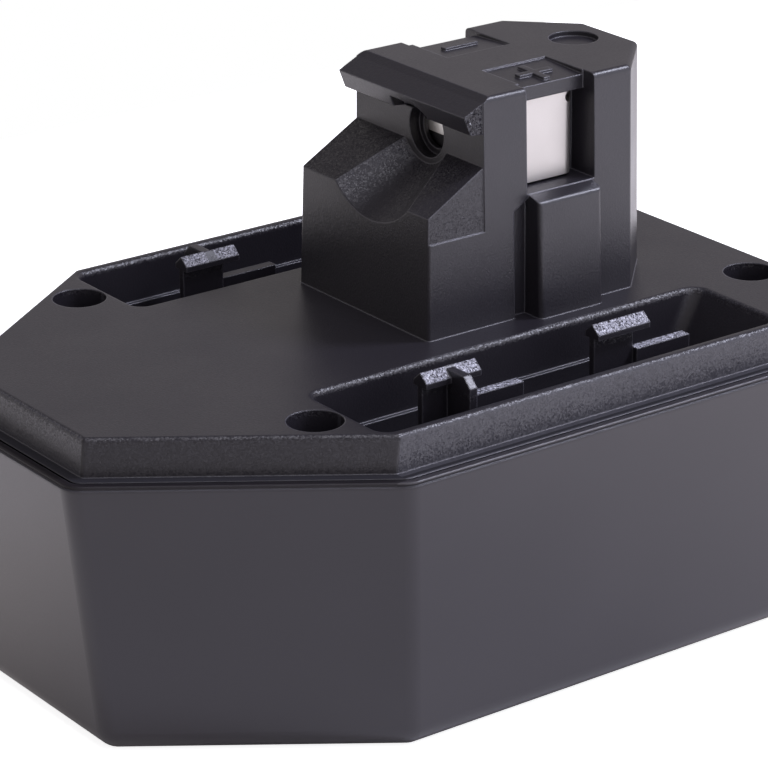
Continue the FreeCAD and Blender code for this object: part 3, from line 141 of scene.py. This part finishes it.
def satin_nylon():
    """Nylon from a polished mould: dark and satin, faintly wavy, a little uneven in gloss."""
    material, tree = new_material("satin_black_nylon")
    place = add(tree, "ShaderNodeTexCoord").outputs["Object"]
    wave = add(tree, "ShaderNodeTexNoise", {"Scale": per_metre(CASE_WAVE_MM), "Detail": 1.0},
               {"Vector": place})
    speckle = add(tree, "ShaderNodeTexNoise", {"Scale": per_metre(CASE_SPECKLE_MM), "Detail": 2.0},
                  {"Vector": place})
    tone = add(tree, "ShaderNodeValToRGB", {}, {"Fac": wave.outputs["Fac"]})
    tone.color_ramp.elements[0].color = linear(CASE_BLACK)
    tone.color_ramp.elements[1].color = linear(CASE_PALE)
    gloss = add(tree, "ShaderNodeMapRange", {"To Min": CASE_GLOSS[0], "To Max": CASE_GLOSS[1]},
                {"Value": speckle.outputs["Fac"]})
    soft_edge = add(tree, "ShaderNodeBevel", {"samples": 6, "Radius": CASE_EDGE_MM * MM})
    broad = add(tree, "ShaderNodeBump", {"Strength": 0.25, "Distance": CASE_WAVE_RELIEF_MM * MM},
                {"Height": wave.outputs["Fac"], "Normal": soft_edge.outputs["Normal"]})
    fine = add(tree, "ShaderNodeBump", {"Strength": 0.1, "Distance": CASE_SPECKLE_RELIEF_MM * MM},
               {"Height": speckle.outputs["Fac"], "Normal": broad.outputs["Normal"]})
    flat = add(tree, "ShaderNodeNewGeometry").outputs["Normal"]
    # Painted highlight: the rounded edges are paled towards the edge colour.
    edge_highlighted = add(tree, "ShaderNodeMix", {"data_type": "RGBA", 7: linear(PAINTED_EDGE_HIGHLIGHT)},
                 {"Factor": edge_shine(tree, soft_edge.outputs["Normal"], flat), 6: tone.outputs["Color"]})
    shader = add(tree, "ShaderNodeBsdfPrincipled", {"IOR": NYLON_IOR},
                 {"Base Color": edge_highlighted.outputs[2], "Roughness": gloss.outputs["Result"],
                  "Normal": fine.outputs["Normal"]})
    # Painted shade: a near-black matt layer mixed over the lip and the fine step under it.
    painted_shade = add(tree, "ShaderNodeBsdfDiffuse", {"Color": linear(SEAM_PAINTED_SHADE)})
    with_painted_shade = add(tree, "ShaderNodeMixShader", {}, {"Fac": strongest(tree, measures(tree), LIP_PAINTED_SHADE),
                                                  1: shader.outputs["BSDF"], 2: painted_shade.outputs["BSDF"]})
    add(tree, "ShaderNodeOutputMaterial", {}, {"Surface": with_painted_shade.outputs["Shader"]})
    return material


dress("lower_case", satin_nylon())


# Upper cover: one moulding in the same nylon, from a spark-eroded mould, so its grain is a field
# of small facets that glitter where a lamp skims them. They lean most on the hooks, the trough
# and the hood's ends, and hardly at all on the flat tops and the stem's walls.
COVER_BLACK = "#222026"
COVER_GLOSS = (0.32, 0.42)
GLOSS_DRIFT_MM = 12.0
COVER_EDGE_MM = 0.35
FINE_GRAIN_MM = 0.35
FINE_GRAIN_DEPTH_MM = 0.03
FACET_MM = 0.21
# Pale colour for painted light: speckled highlights on the hook and bar tops, and a lift on the trough's
# right-facing wall and on the skirt's long sides and front.
PAINTED_LIGHT_PALE = "#b4b5c2"

# Places on the cover. The flange lies round the foot of the skirt, over the seam.
FACES_UP = (0.3, 1.1)
HARDLY = (-0.1, 0.1)
FLANGE_TOP = {"level": (44.3, 44.6), "up": FACES_UP}
FLANGE_WALL = {"level": (42.3, 44.36), "up": (-1.1, 0.3)}
FLANGE_ENDS = [{"along": (-80.0, -34.0)}, {"along": (-34.0, -28.5), "across": (41.3, 60.0)},
               {"along": (48.0, 80.0)}]
FLANGE_SIDES_ALONG = (-28.5, 48.0)
SKIRT_LEVELS = (44.2, 50.3)
SKIRT_SIDES_ACROSS = (43.6, 60.0)
SKIRT_FRONT_ALONG = (-80.0, -29.3)
SKIRT_REAR_ALONG = (48.1, 80.0)
SKIRT_RIM = {"level": (49.4, 50.35)}
STEM_FACE = {"along": (-1.2, 9.4)}
RAMP = {**STEM_FACE, "level": (66.0, 81.6)}
TROUGH = {**RAMP, "across": (-0.1, 16.2), "near": (0.1, 1.1)}
SIDE_PANELS = {**STEM_FACE, "level": (66.0, 88.0), "across": (16.2, 60.0)}
HOOD_ENDS = {**STEM_FACE, "level": (81.8, 87.2), "across": (16.2, 60.0)}
AHEAD_OF_GUSSETS = (-80.0, -10.4)
BEHIND_GUSSETS = (-8.6, 44.0)
BOTH_SIDES = (-60.0, 60.0)
NEAR_SIDE = (0.0, 60.0)
HOOK_TOPS = {"level": (50.7, 53.5), "side": BOTH_SIDES}
BAR_TOPS = {"level": (47.5, 48.3), "side": NEAR_SIDE}
# Hook and bar tops: their facets lean most, and a speckled painted highlight pales them; the bar tops get
# it on the right side only.
HOOK_AND_BAR_TOPS = [{**tops, "along": along, "across": (30.8, 34.4), "up": FACES_UP}
             for tops in (HOOK_TOPS, BAR_TOPS) for along in (AHEAD_OF_GUSSETS, BEHIND_GUSSETS)]

# How far the facets lean in each place, how much pale painted light goes where, and painted shade.
FLAT_LEAN = 0.04
LEANS = [
    (0.4, {"level": SKIRT_LEVELS, "across": SKIRT_SIDES_ACROSS, "up": (-0.1, 0.97), "ahead": HARDLY}),
    (0.2, {"level": SKIRT_LEVELS, "along": SKIRT_FRONT_ALONG, "up": (0.06, 0.97)}),
    (0.2, {"level": SKIRT_LEVELS, "along": SKIRT_REAR_ALONG, "up": (0.06, 0.97)}),
    (0.4, SKIRT_RIM),
    (0.3, RAMP),
    (0.3, SIDE_PANELS),
    (1.1, HOOD_ENDS),
] + [(1.2, top) for top in HOOK_AND_BAR_TOPS]
TROUGH_LEAN = 0.9
# The trough's wall that faces the right side is paled as painted light, more as it turns further.
TROUGH_PAINTED_LIGHT = 0.13
TROUGH_TURNED = (0.1, 0.7)
# Painted light: the skirt's long sides and its front are paled a little.
SKIRT_PAINTED_LIGHT = [
    (0.045, {"level": SKIRT_LEVELS, "across": SKIRT_SIDES_ACROSS, "ahead": HARDLY}),
    (0.06, {"level": SKIRT_LEVELS, "along": SKIRT_FRONT_ALONG, "near": HARDLY}),
]
# Painted shade on the flange's top and on its wall inside the seam's gap.
FLANGE_PAINTED_SHADE = [
    (0.1, {**FLANGE_TOP, "across": (44.9, 46.3), "along": FLANGE_SIDES_ALONG}),
    (0.6, {**FLANGE_TOP, "across": (46.3, 47.05), "along": FLANGE_SIDES_ALONG}),
    (0.85, {**FLANGE_WALL, "across": SKIRT_SIDES_ACROSS}),
]
for flange_end in FLANGE_ENDS:
    FLANGE_PAINTED_SHADE += [(0.5, {**FLANGE_TOP, **flange_end}), (0.85, {**FLANGE_WALL, **flange_end})]


def grained_nylon():
    """Spark-eroded grain as small leaning facets, drawn a little larger than real so that they show."""
    material, tree = new_material("grained_black_nylon")
    place = add(tree, "ShaderNodeTexCoord").outputs["Object"]
    flat = add(tree, "ShaderNodeNewGeometry").outputs["Normal"]
    measured = measures(tree)
    fine = add(tree, "ShaderNodeTexNoise",
               {"Scale": per_metre(FINE_GRAIN_MM), "Detail": 2.0, "Roughness": 0.55}, {"Vector": place})
    drift = add(tree, "ShaderNodeTexNoise", {"Scale": per_metre(GLOSS_DRIFT_MM), "Detail": 2.0},
                {"Vector": place})
    gloss = add(tree, "ShaderNodeMapRange", {"To Min": COVER_GLOSS[0], "To Max": COVER_GLOSS[1]},
                {"Value": drift.outputs["Fac"]})
    soft_edge = add(tree, "ShaderNodeBevel", {"samples": 6, "Radius": COVER_EDGE_MM * MM})
    skin = add(tree, "ShaderNodeBump", {"Strength": 1.0, "Distance": FINE_GRAIN_DEPTH_MM * MM},
               {"Height": fine.outputs["Fac"], "Normal": soft_edge.outputs["Normal"]})
    facets = add(tree, "ShaderNodeTexVoronoi", {"Scale": per_metre(FACET_MM)}, {"Vector": place})
    random = add(tree, "ShaderNodeSeparateColor", {}, {"Color": facets.outputs["Color"]}).outputs[0]
    centred = add(tree, "ShaderNodeVectorMath", {"operation": "SUBTRACT", 1: (0.5, 0.5, 0.5)},
                  {0: facets.outputs["Color"]})
    turned = add(tree, "ShaderNodeMapRange",
                 {"interpolation_type": "SMOOTHSTEP", "From Min": TROUGH_TURNED[0],
                  "From Max": TROUGH_TURNED[1]}, {"Value": measured["near"]})
    wall = add(tree, "ShaderNodeMath", {"operation": "MULTIPLY"},
               {0: inside(tree, measured, TROUGH), 1: turned.outputs["Result"]}).outputs["Value"]
    wall_lean = add(tree, "ShaderNodeMath", {"operation": "MULTIPLY_ADD", 1: TROUGH_LEAN, 2: FLAT_LEAN},
                    {0: wall})
    depth = add(tree, "ShaderNodeMath", {"operation": "MAXIMUM"},
                {0: wall_lean.outputs["Value"], 1: strongest(tree, measured, LEANS)})
    lean = add(tree, "ShaderNodeVectorMath", {"operation": "SCALE"},
               {0: centred.outputs["Vector"], "Scale": depth.outputs["Value"]})
    grained = add(tree, "ShaderNodeVectorMath", {"operation": "ADD"},
                  {0: skin.outputs["Normal"], 1: lean.outputs["Vector"]})
    normal = add(tree, "ShaderNodeVectorMath", {"operation": "NORMALIZE"}, {0: grained.outputs["Vector"]})
    # Painted highlights and painted light, mixed towards the pale colour: speckles on the hook and bar
    # tops, the trough's right-facing wall, and the skirt's long sides and front.
    tops = strongest(tree, measured, [(1.0, top) for top in HOOK_AND_BAR_TOPS])
    painted_top_highlights = add(tree, "ShaderNodeMath", {"operation": "MULTIPLY"}, {0: tops, 1: random})
    painted_wall_and_tops = add(tree, "ShaderNodeMath", {"operation": "MULTIPLY_ADD", 1: TROUGH_PAINTED_LIGHT},
                    {0: wall, 2: painted_top_highlights.outputs["Value"]})
    painted_light = add(tree, "ShaderNodeMath", {"operation": "MAXIMUM"},
               {0: painted_wall_and_tops.outputs["Value"], 1: strongest(tree, measured, SKIRT_PAINTED_LIGHT)})
    tone = add(tree, "ShaderNodeMix", {"data_type": "RGBA", 6: linear(COVER_BLACK), 7: linear(PAINTED_LIGHT_PALE)},
               {"Factor": painted_light.outputs["Value"]})
    # Painted highlight: the rounded edges are paled towards the edge colour.
    edge_highlighted = add(tree, "ShaderNodeMix", {"data_type": "RGBA", 7: linear(PAINTED_EDGE_HIGHLIGHT)},
                 {"Factor": edge_shine(tree, soft_edge.outputs["Normal"], flat), 6: tone.outputs[2]})
    shader = add(tree, "ShaderNodeBsdfPrincipled", {"IOR": NYLON_IOR},
                 {"Base Color": edge_highlighted.outputs[2], "Roughness": gloss.outputs["Result"],
                  "Normal": normal.outputs["Vector"]})
    # Painted shade: the near-black matt layer mixed over the flange in the seam.
    painted_shade = add(tree, "ShaderNodeBsdfDiffuse", {"Color": linear(SEAM_PAINTED_SHADE)})
    with_painted_shade = add(tree, "ShaderNodeMixShader", {}, {"Fac": strongest(tree, measured, FLANGE_PAINTED_SHADE),
                                                  1: shader.outputs["BSDF"], 2: painted_shade.outputs["BSDF"]})
    add(tree, "ShaderNodeOutputMaterial", {}, {"Surface": with_painted_shade.outputs["Shader"]})
    return material


dress("upper_cover", grained_nylon())


# Power and sensor contacts: strips of spring bronze, nickel plated, bent and pressed into the
# windows; the sensor's strip has a brighter silver finish. Rolled strip keeps fine lines, which
# draw its shine out along them, and handling leaves it slightly clouded.
NICKEL = "#c4c0bc"
NICKEL_ROUGHNESS = (0.38, 0.5)
SILVER = "#f6f4f0"
SILVER_ROUGHNESS = (0.3, 0.4)
ROLLING_LINE_MM = 0.25
ROLLING_LINE_DEPTH_MM = 0.01
LINES_STRETCHED = 0.04
CLOUD_MM = 5.0


def rolled_strip(name, colour, roughness, along):
    """Rolled and plated strip; along is the axis that the rolling lines follow."""
    material, tree = new_material(name)
    place = add(tree, "ShaderNodeTexCoord").outputs["Object"]
    squeeze = [LINES_STRETCHED if axis == along else 1.0 for axis in "XYZ"]
    drawn = add(tree, "ShaderNodeMapping", {"Scale": squeeze}, {"Vector": place})
    lines = add(tree, "ShaderNodeTexNoise", {"Scale": per_metre(ROLLING_LINE_MM), "Detail": 3.0},
                {"Vector": drawn.outputs["Vector"]})
    cloud = add(tree, "ShaderNodeTexNoise", {"Scale": per_metre(CLOUD_MM), "Detail": 3.0},
                {"Vector": place})
    gloss = add(tree, "ShaderNodeMapRange", {"To Min": roughness[0], "To Max": roughness[1]},
                {"Value": cloud.outputs["Fac"]})
    groove = add(tree, "ShaderNodeBump", {"Strength": 0.3, "Distance": ROLLING_LINE_DEPTH_MM * MM},
                 {"Height": lines.outputs["Fac"]})
    shader = add(tree, "ShaderNodeBsdfPrincipled", {"Base Color": linear(colour), "Metallic": 1.0},
                 {"Roughness": gloss.outputs["Result"], "Normal": groove.outputs["Normal"]})
    add(tree, "ShaderNodeOutputMaterial", {}, {"Surface": shader.outputs["BSDF"]})
    return material


contact_nickel = rolled_strip("nickel_plated_spring_strip", NICKEL, NICKEL_ROUGHNESS, "Z")
for contact in ("positive_contact", "negative_contact"):
    dress(contact, contact_nickel)
contact_silver = rolled_strip("silver_plated_spring_strip", SILVER, SILVER_ROUGHNESS, "Z")
dress("sensor_contact", contact_silver)


# Case screws: steel screws for plastics, black zinc plated, at the bottom of the four wells.
# The plating is thin and dark, with a dull metallic shine and paler spots of wear.
BLACK_ZINC = "#3c3c40"
BLACK_ZINC_WORN = "#5a595c"
WEAR_MM = 1.2


def black_zinc():
    """Thin black zinc over steel: a dark, dull metal with paler spots of wear."""
    material, tree = new_material("black_zinc_plated_steel")
    place = add(tree, "ShaderNodeTexCoord").outputs["Object"]
    wear = add(tree, "ShaderNodeTexNoise", {"Scale": per_metre(WEAR_MM), "Detail": 4.0}, {"Vector": place})
    tone = add(tree, "ShaderNodeValToRGB", {}, {"Fac": wear.outputs["Fac"]})
    tone.color_ramp.elements[0].position = 0.45
    tone.color_ramp.elements[0].color = linear(BLACK_ZINC)
    tone.color_ramp.elements[1].position = 0.75
    tone.color_ramp.elements[1].color = linear(BLACK_ZINC_WORN)
    shader = add(tree, "ShaderNodeBsdfPrincipled", {"Metallic": 1.0, "Roughness": 0.42},
                 {"Base Color": tone.outputs["Color"]})
    add(tree, "ShaderNodeOutputMaterial", {}, {"Surface": shader.outputs["BSDF"]})
    return material


dress("case_screws", black_zinc())


# Hidden mouldings and leads: the contact carrier is plain moulded nylon, the sensor wire has a
# soft plastic sheath, and the thermistor and the thermal cut-out are dipped in black resin.
# All are dark; they differ in how evenly they shine.
POLYMER_RELIEF_MM = 0.03


def dark_polymer(name, dark, pale, mottle_mm, gloss_range):
    """A dark plastic whose tone and gloss drift over a mottle of this size."""
    material, tree = new_material(name)
    place = add(tree, "ShaderNodeTexCoord").outputs["Object"]
    mottle = add(tree, "ShaderNodeTexNoise", {"Scale": per_metre(mottle_mm), "Detail": 3.0},
                 {"Vector": place})
    tone = add(tree, "ShaderNodeValToRGB", {}, {"Fac": mottle.outputs["Fac"]})
    tone.color_ramp.elements[0].color = linear(dark)
    tone.color_ramp.elements[1].color = linear(pale)
    gloss = add(tree, "ShaderNodeMapRange", {"To Min": gloss_range[0], "To Max": gloss_range[1]},
                {"Value": mottle.outputs["Fac"]})
    relief = add(tree, "ShaderNodeBump", {"Strength": 0.3, "Distance": POLYMER_RELIEF_MM * MM},
                 {"Height": mottle.outputs["Fac"]})
    shader = add(tree, "ShaderNodeBsdfPrincipled", {"IOR": NYLON_IOR},
                 {"Base Color": tone.outputs["Color"], "Roughness": gloss.outputs["Result"],
                  "Normal": relief.outputs["Normal"]})
    add(tree, "ShaderNodeOutputMaterial", {}, {"Surface": shader.outputs["BSDF"]})
    return material


plain_nylon = dark_polymer("plain_black_nylon", "#1c1b1e", "#26252a", mottle_mm=0.6,
                           gloss_range=(0.4, 0.55))
dress("contact_carrier", plain_nylon)
sheath = dark_polymer("black_wire_sheath", "#1d1d1f", "#2a2a2d", mottle_mm=0.8, gloss_range=(0.35, 0.5))
dress("sensor_wire", sheath)
resin = dark_polymer("dipped_black_resin", "#161618", "#202024", mottle_mm=1.5, gloss_range=(0.12, 0.25))
dress("thermistor", resin)
dress("thermal_cutout", resin)


# Strips between the cells and up to the contacts: plain nickel strip, spot-welded. It is
# softer and greyer than the plated contacts, with rolling lines along its length.
STRIP_NICKEL = "#c6c1b8"
STRIP_ROUGHNESS = (0.3, 0.48)

strip_nickel = rolled_strip("plain_nickel_strip", STRIP_NICKEL, STRIP_ROUGHNESS, "Y")
for strip in ("top_links", "bottom_links"):
    dress(strip, strip_nickel)
riser_nickel = rolled_strip("plain_nickel_riser", STRIP_NICKEL, STRIP_ROUGHNESS, "Z")
for lead in ("positive_lead", "negative_lead"):
    dress(lead, riser_nickel)


# Insulators and sleeves: pressed grey-green card over and under the cells, wound kraft
# sleeves round them. Both are matt and show their short paper fibres, drawn coarser than real.
NAP_MM = 0.05


def paper_board(name, dark, pale, fibre_mm):
    """Matt board with tangled fibres of about this length."""
    material, tree = new_material(name)
    place = add(tree, "ShaderNodeTexCoord").outputs["Object"]
    fibre = add(tree, "ShaderNodeTexNoise",
                {"Scale": per_metre(fibre_mm), "Detail": 6.0, "Distortion": 1.5},
                {"Vector": place})
    tone = add(tree, "ShaderNodeValToRGB", {}, {"Fac": fibre.outputs["Fac"]})
    tone.color_ramp.elements[0].position = 0.35
    tone.color_ramp.elements[0].color = linear(dark)
    tone.color_ramp.elements[1].position = 0.65
    tone.color_ramp.elements[1].color = linear(pale)
    nap = add(tree, "ShaderNodeBump", {"Strength": 0.4, "Distance": NAP_MM * MM},
              {"Height": fibre.outputs["Fac"]})
    shader = add(tree, "ShaderNodeBsdfPrincipled", {"Roughness": 0.85},
                 {"Base Color": tone.outputs["Color"], "Normal": nap.outputs["Normal"]})
    add(tree, "ShaderNodeOutputMaterial", {}, {"Surface": shader.outputs["BSDF"]})
    return material


insulating_card = paper_board("pressed_insulating_card", "#8b9187", "#a3a89c", fibre_mm=1.4)
for card in ("top_insulator", "bottom_insulator"):
    dress(card, insulating_card)
kraft_sleeve = paper_board("wound_kraft_sleeve", "#a98a5f", "#bf9f72", fibre_mm=1.8)


# Cells: sixteen 4/5 sub-C cans of drawn, nickel-plated steel, each in its sleeve. Drawing the
# can leaves fine upright lines on its wall and a soft, slightly clouded shine.
CAN_STEEL = "#bcb9b4"
CAN_ROUGHNESS = (0.28, 0.42)

can_steel = rolled_strip("nickel_plated_drawn_can", CAN_STEEL, CAN_ROUGHNESS, "Z")
for number in range(1, 17):
    dress(f"cell_{number:02d}", can_steel)
    dress(f"cell_sleeve_{number:02d}", kraft_sleeve)


# Foam block: closed-cell black foam, cut to size, that keeps the cells from sliding back.
# The knife leaves half-open bubbles, so the faces are matt and pitted.
FOAM_BLACK = "#262628"
FOAM_PALE = "#3a3a3d"
BUBBLE_MM = 0.7
BUBBLE_DEPTH_MM = 0.2


def cut_foam():
    """Matt foam with half-open bubbles."""
    material, tree = new_material("closed_cell_black_foam")
    place = add(tree, "ShaderNodeTexCoord").outputs["Object"]
    bubbles = add(tree, "ShaderNodeTexVoronoi", {"Scale": per_metre(BUBBLE_MM)}, {"Vector": place})
    tone = add(tree, "ShaderNodeValToRGB", {}, {"Fac": bubbles.outputs["Distance"]})
    tone.color_ramp.elements[0].color = linear(FOAM_BLACK)
    tone.color_ramp.elements[1].color = linear(FOAM_PALE)
    pits = add(tree, "ShaderNodeBump", {"Strength": 0.7, "Distance": BUBBLE_DEPTH_MM * MM},
               {"Height": bubbles.outputs["Distance"]})
    shader = add(tree, "ShaderNodeBsdfPrincipled", {"Roughness": 0.9},
                 {"Base Color": tone.outputs["Color"], "Normal": pits.outputs["Normal"]})
    add(tree, "ShaderNodeOutputMaterial", {}, {"Surface": shader.outputs["BSDF"]})
    return material


dress("foam_block", cut_foam())


# Camera: the photograph's own viewpoint, a long lens about 0.57 m away, with the pack set
# corner on. All of it follows from the directions of the pack's straight edges.
AZIMUTH_DEG = 53.94
ELEVATION_DEG = 21.70
ROLL_DEG = -0.587
DISTANCE_MM = 570.22
LENS_MM = 167.54
SENSOR_MM = 36.0
AIM_MM = Vector((0.0, 2.6, 50.4))
SLIDE_RIGHT_MM = -0.2069
SLIDE_UP_MM = -12.5404


def photo_camera():
    azimuth = math.radians(AZIMUTH_DEG)
    elevation = math.radians(ELEVATION_DEG)
    back = Vector((math.sin(azimuth) * math.cos(elevation), -math.cos(azimuth) * math.cos(elevation),
                   math.sin(elevation)))
    right = Vector((0, 0, 1)).cross(back).normalized()
    up = back.cross(right)
    roll = math.radians(ROLL_DEG)
    rolled_right = right * math.cos(roll) + up * math.sin(roll)
    rolled_up = up * math.cos(roll) - right * math.sin(roll)
    place = AIM_MM + back * DISTANCE_MM + rolled_right * SLIDE_RIGHT_MM + rolled_up * SLIDE_UP_MM
    data = bpy.data.cameras.new("photo_camera")
    data.lens = LENS_MM
    data.sensor_width = SENSOR_MM
    data.clip_start = 0.01
    camera = bpy.data.objects.new("photo_camera", data)
    turn = Matrix((rolled_right, rolled_up, back)).transposed().to_4x4()
    camera.matrix_world = Matrix.Translation(place * MM) @ turn
    bpy.context.scene.collection.objects.link(camera)
    bpy.context.scene.camera = camera


photo_camera()


# Studio: the pack stands on white card in a dim grey room, under a small high lamp behind it, a
# broad soft box overhead and a pale panel on the right. The card shows plain white, keeps the
# shadow, and in the walls' reflections shows a painted reflection that dims as a painted shade
# in front of the near corner, except on the card's left part.
CARD_FROM = (-0.25, -0.155)
CARD_TO = (0.34, 0.34)
CARD_WHITE = "#efeff0"
CARD_GLOW = 0.85
CARD_SHINE = 0.75
SHINE_TINT = "#fff5f6"
PAINTED_SHADE_MIDDLE = (0.075, -0.04, 0.0)
PAINTED_SHADE_RADII = (0.06, 0.16)
PAINTED_BRIGHT_SIDE = (0.03, -0.04)


def white_card():
    """White card: plain white to the camera; in the walls' reflections a painted glow with a painted
    shade.
    """
    material, tree = new_material("white_card")
    rays = add(tree, "ShaderNodeLightPath").outputs
    seen = add(tree, "ShaderNodeMath", {"operation": "MAXIMUM"},
               {0: rays["Is Camera Ray"], 1: rays["Is Glossy Ray"]})
    place = add(tree, "ShaderNodeTexCoord").outputs["Object"]
    # Painted shade and painted light in the reflections: the glow fades near the pack's near corner and
    # stays full on the card's left part.
    away = add(tree, "ShaderNodeVectorMath", {"operation": "DISTANCE", 1: PAINTED_SHADE_MIDDLE}, {0: place})
    outside_painted_shade = add(tree, "ShaderNodeMapRange",
                    {"From Min": PAINTED_SHADE_RADII[0], "From Max": PAINTED_SHADE_RADII[1], "To Min": 0.0,
                     "To Max": CARD_SHINE}, {"Value": away.outputs["Value"]})
    across = add(tree, "ShaderNodeSeparateXYZ", {}, {"Vector": place}).outputs["X"]
    painted_bright_side = add(tree, "ShaderNodeMapRange",
                   {"From Min": PAINTED_BRIGHT_SIDE[0], "From Max": PAINTED_BRIGHT_SIDE[1], "To Min": 0.0, "To Max": CARD_SHINE},
                   {"Value": across})
    shine = add(tree, "ShaderNodeMath", {"operation": "MAXIMUM"},
                {0: outside_painted_shade.outputs["Result"], 1: painted_bright_side.outputs["Result"]})
    level = add(tree, "ShaderNodeMix", {"data_type": "FLOAT", 3: CARD_GLOW},
                {"Factor": rays["Is Camera Ray"], 2: shine.outputs["Value"]})
    tint = add(tree, "ShaderNodeMix", {"data_type": "RGBA", 6: linear(SHINE_TINT), 7: linear("#ffffff")},
               {"Factor": rays["Is Camera Ray"]})
    paper = add(tree, "ShaderNodeBsdfDiffuse", {"Color": linear(CARD_WHITE)})
    glow = add(tree, "ShaderNodeEmission", {},
               {"Color": tint.outputs[2], "Strength": level.outputs["Result"]})
    lifted = add(tree, "ShaderNodeAddShader", {}, {0: paper.outputs["BSDF"], 1: glow.outputs["Emission"]})
    shown = add(tree, "ShaderNodeMixShader", {}, {"Fac": seen.outputs["Value"], 1: paper.outputs["BSDF"],
                                                  2: lifted.outputs["Shader"]})
    add(tree, "ShaderNodeOutputMaterial", {}, {"Surface": shown.outputs["Shader"]})
    (left, front), (right, rear) = CARD_FROM, CARD_TO
    mesh = bpy.data.meshes.new("white_card")
    mesh.from_pydata([(left, front, 0), (right, front, 0), (right, rear, 0), (left, rear, 0)], [],
                     [(0, 1, 2, 3)])
    mesh.materials.append(material)
    card = bpy.data.objects.new("white_card", mesh)
    bpy.context.scene.collection.objects.link(card)


ROOM_TINT = "#fff8f9"
ROOM_LOW = 0.48
ROOM_HIGH = 0.14
ROOM_DARKENS = (0.4, 0.62)


def grey_room():
    """Pale near the horizon and darker above; the camera sees the background as white."""
    world = bpy.data.worlds.new("grey_room")
    world.use_nodes = True
    bpy.context.scene.world = world
    tree = world.node_tree
    tree.nodes.clear()
    direction = add(tree, "ShaderNodeTexCoord").outputs["Generated"]
    height = add(tree, "ShaderNodeSeparateXYZ", {}, {"Vector": direction}).outputs["Z"]
    level = add(tree, "ShaderNodeMapRange",
                {"From Min": ROOM_DARKENS[0], "From Max": ROOM_DARKENS[1], "To Min": ROOM_LOW,
                 "To Max": ROOM_HIGH}, {"Value": height})
    rays = add(tree, "ShaderNodeLightPath").outputs
    room = add(tree, "ShaderNodeBackground", {"Color": linear(ROOM_TINT)},
               {"Strength": level.outputs["Result"]})
    white = add(tree, "ShaderNodeBackground", {"Color": linear("#ffffff"), "Strength": 1.0})
    shown = add(tree, "ShaderNodeMixShader", {}, {"Fac": rays["Is Camera Ray"],
                                                  1: room.outputs["Background"],
                                                  2: white.outputs["Background"]})
    add(tree, "ShaderNodeOutputWorld", {}, {"Surface": shown.outputs["Shader"]})


LAMPS_AIM = Vector((0.0, 0.0, 0.05))


def soft_box(name, place, width, height, watts, colour):
    """A rectangular lamp aimed at the middle of the pack; sizes in metres."""
    data = bpy.data.lights.new(name, "AREA")
    data.shape = "RECTANGLE"
    data.size = width
    data.size_y = height
    data.energy = watts
    data.color = linear(colour)[:3]
    lamp = bpy.data.objects.new(name, data)
    lamp.location = place
    lamp.rotation_euler = (LAMPS_AIM - Vector(place)).to_track_quat("-Z", "Y").to_euler()
    bpy.context.scene.collection.objects.link(lamp)


white_card()
grey_room()
soft_box("key_light", place=(0.33, 0.58, 0.82), width=0.2, height=0.2, watts=8.0, colour="#e9ebff")
soft_box("overhead_box", place=(0.36, -0.05, 0.95), width=0.7, height=0.8, watts=4.5, colour="#f8f6ff")
soft_box("right_panel", place=(0.85, 0.35, 0.28), width=1.2, height=0.8, watts=3.4, colour="#eaecff")

bpy.context.scene.view_settings.view_transform = "Standard"
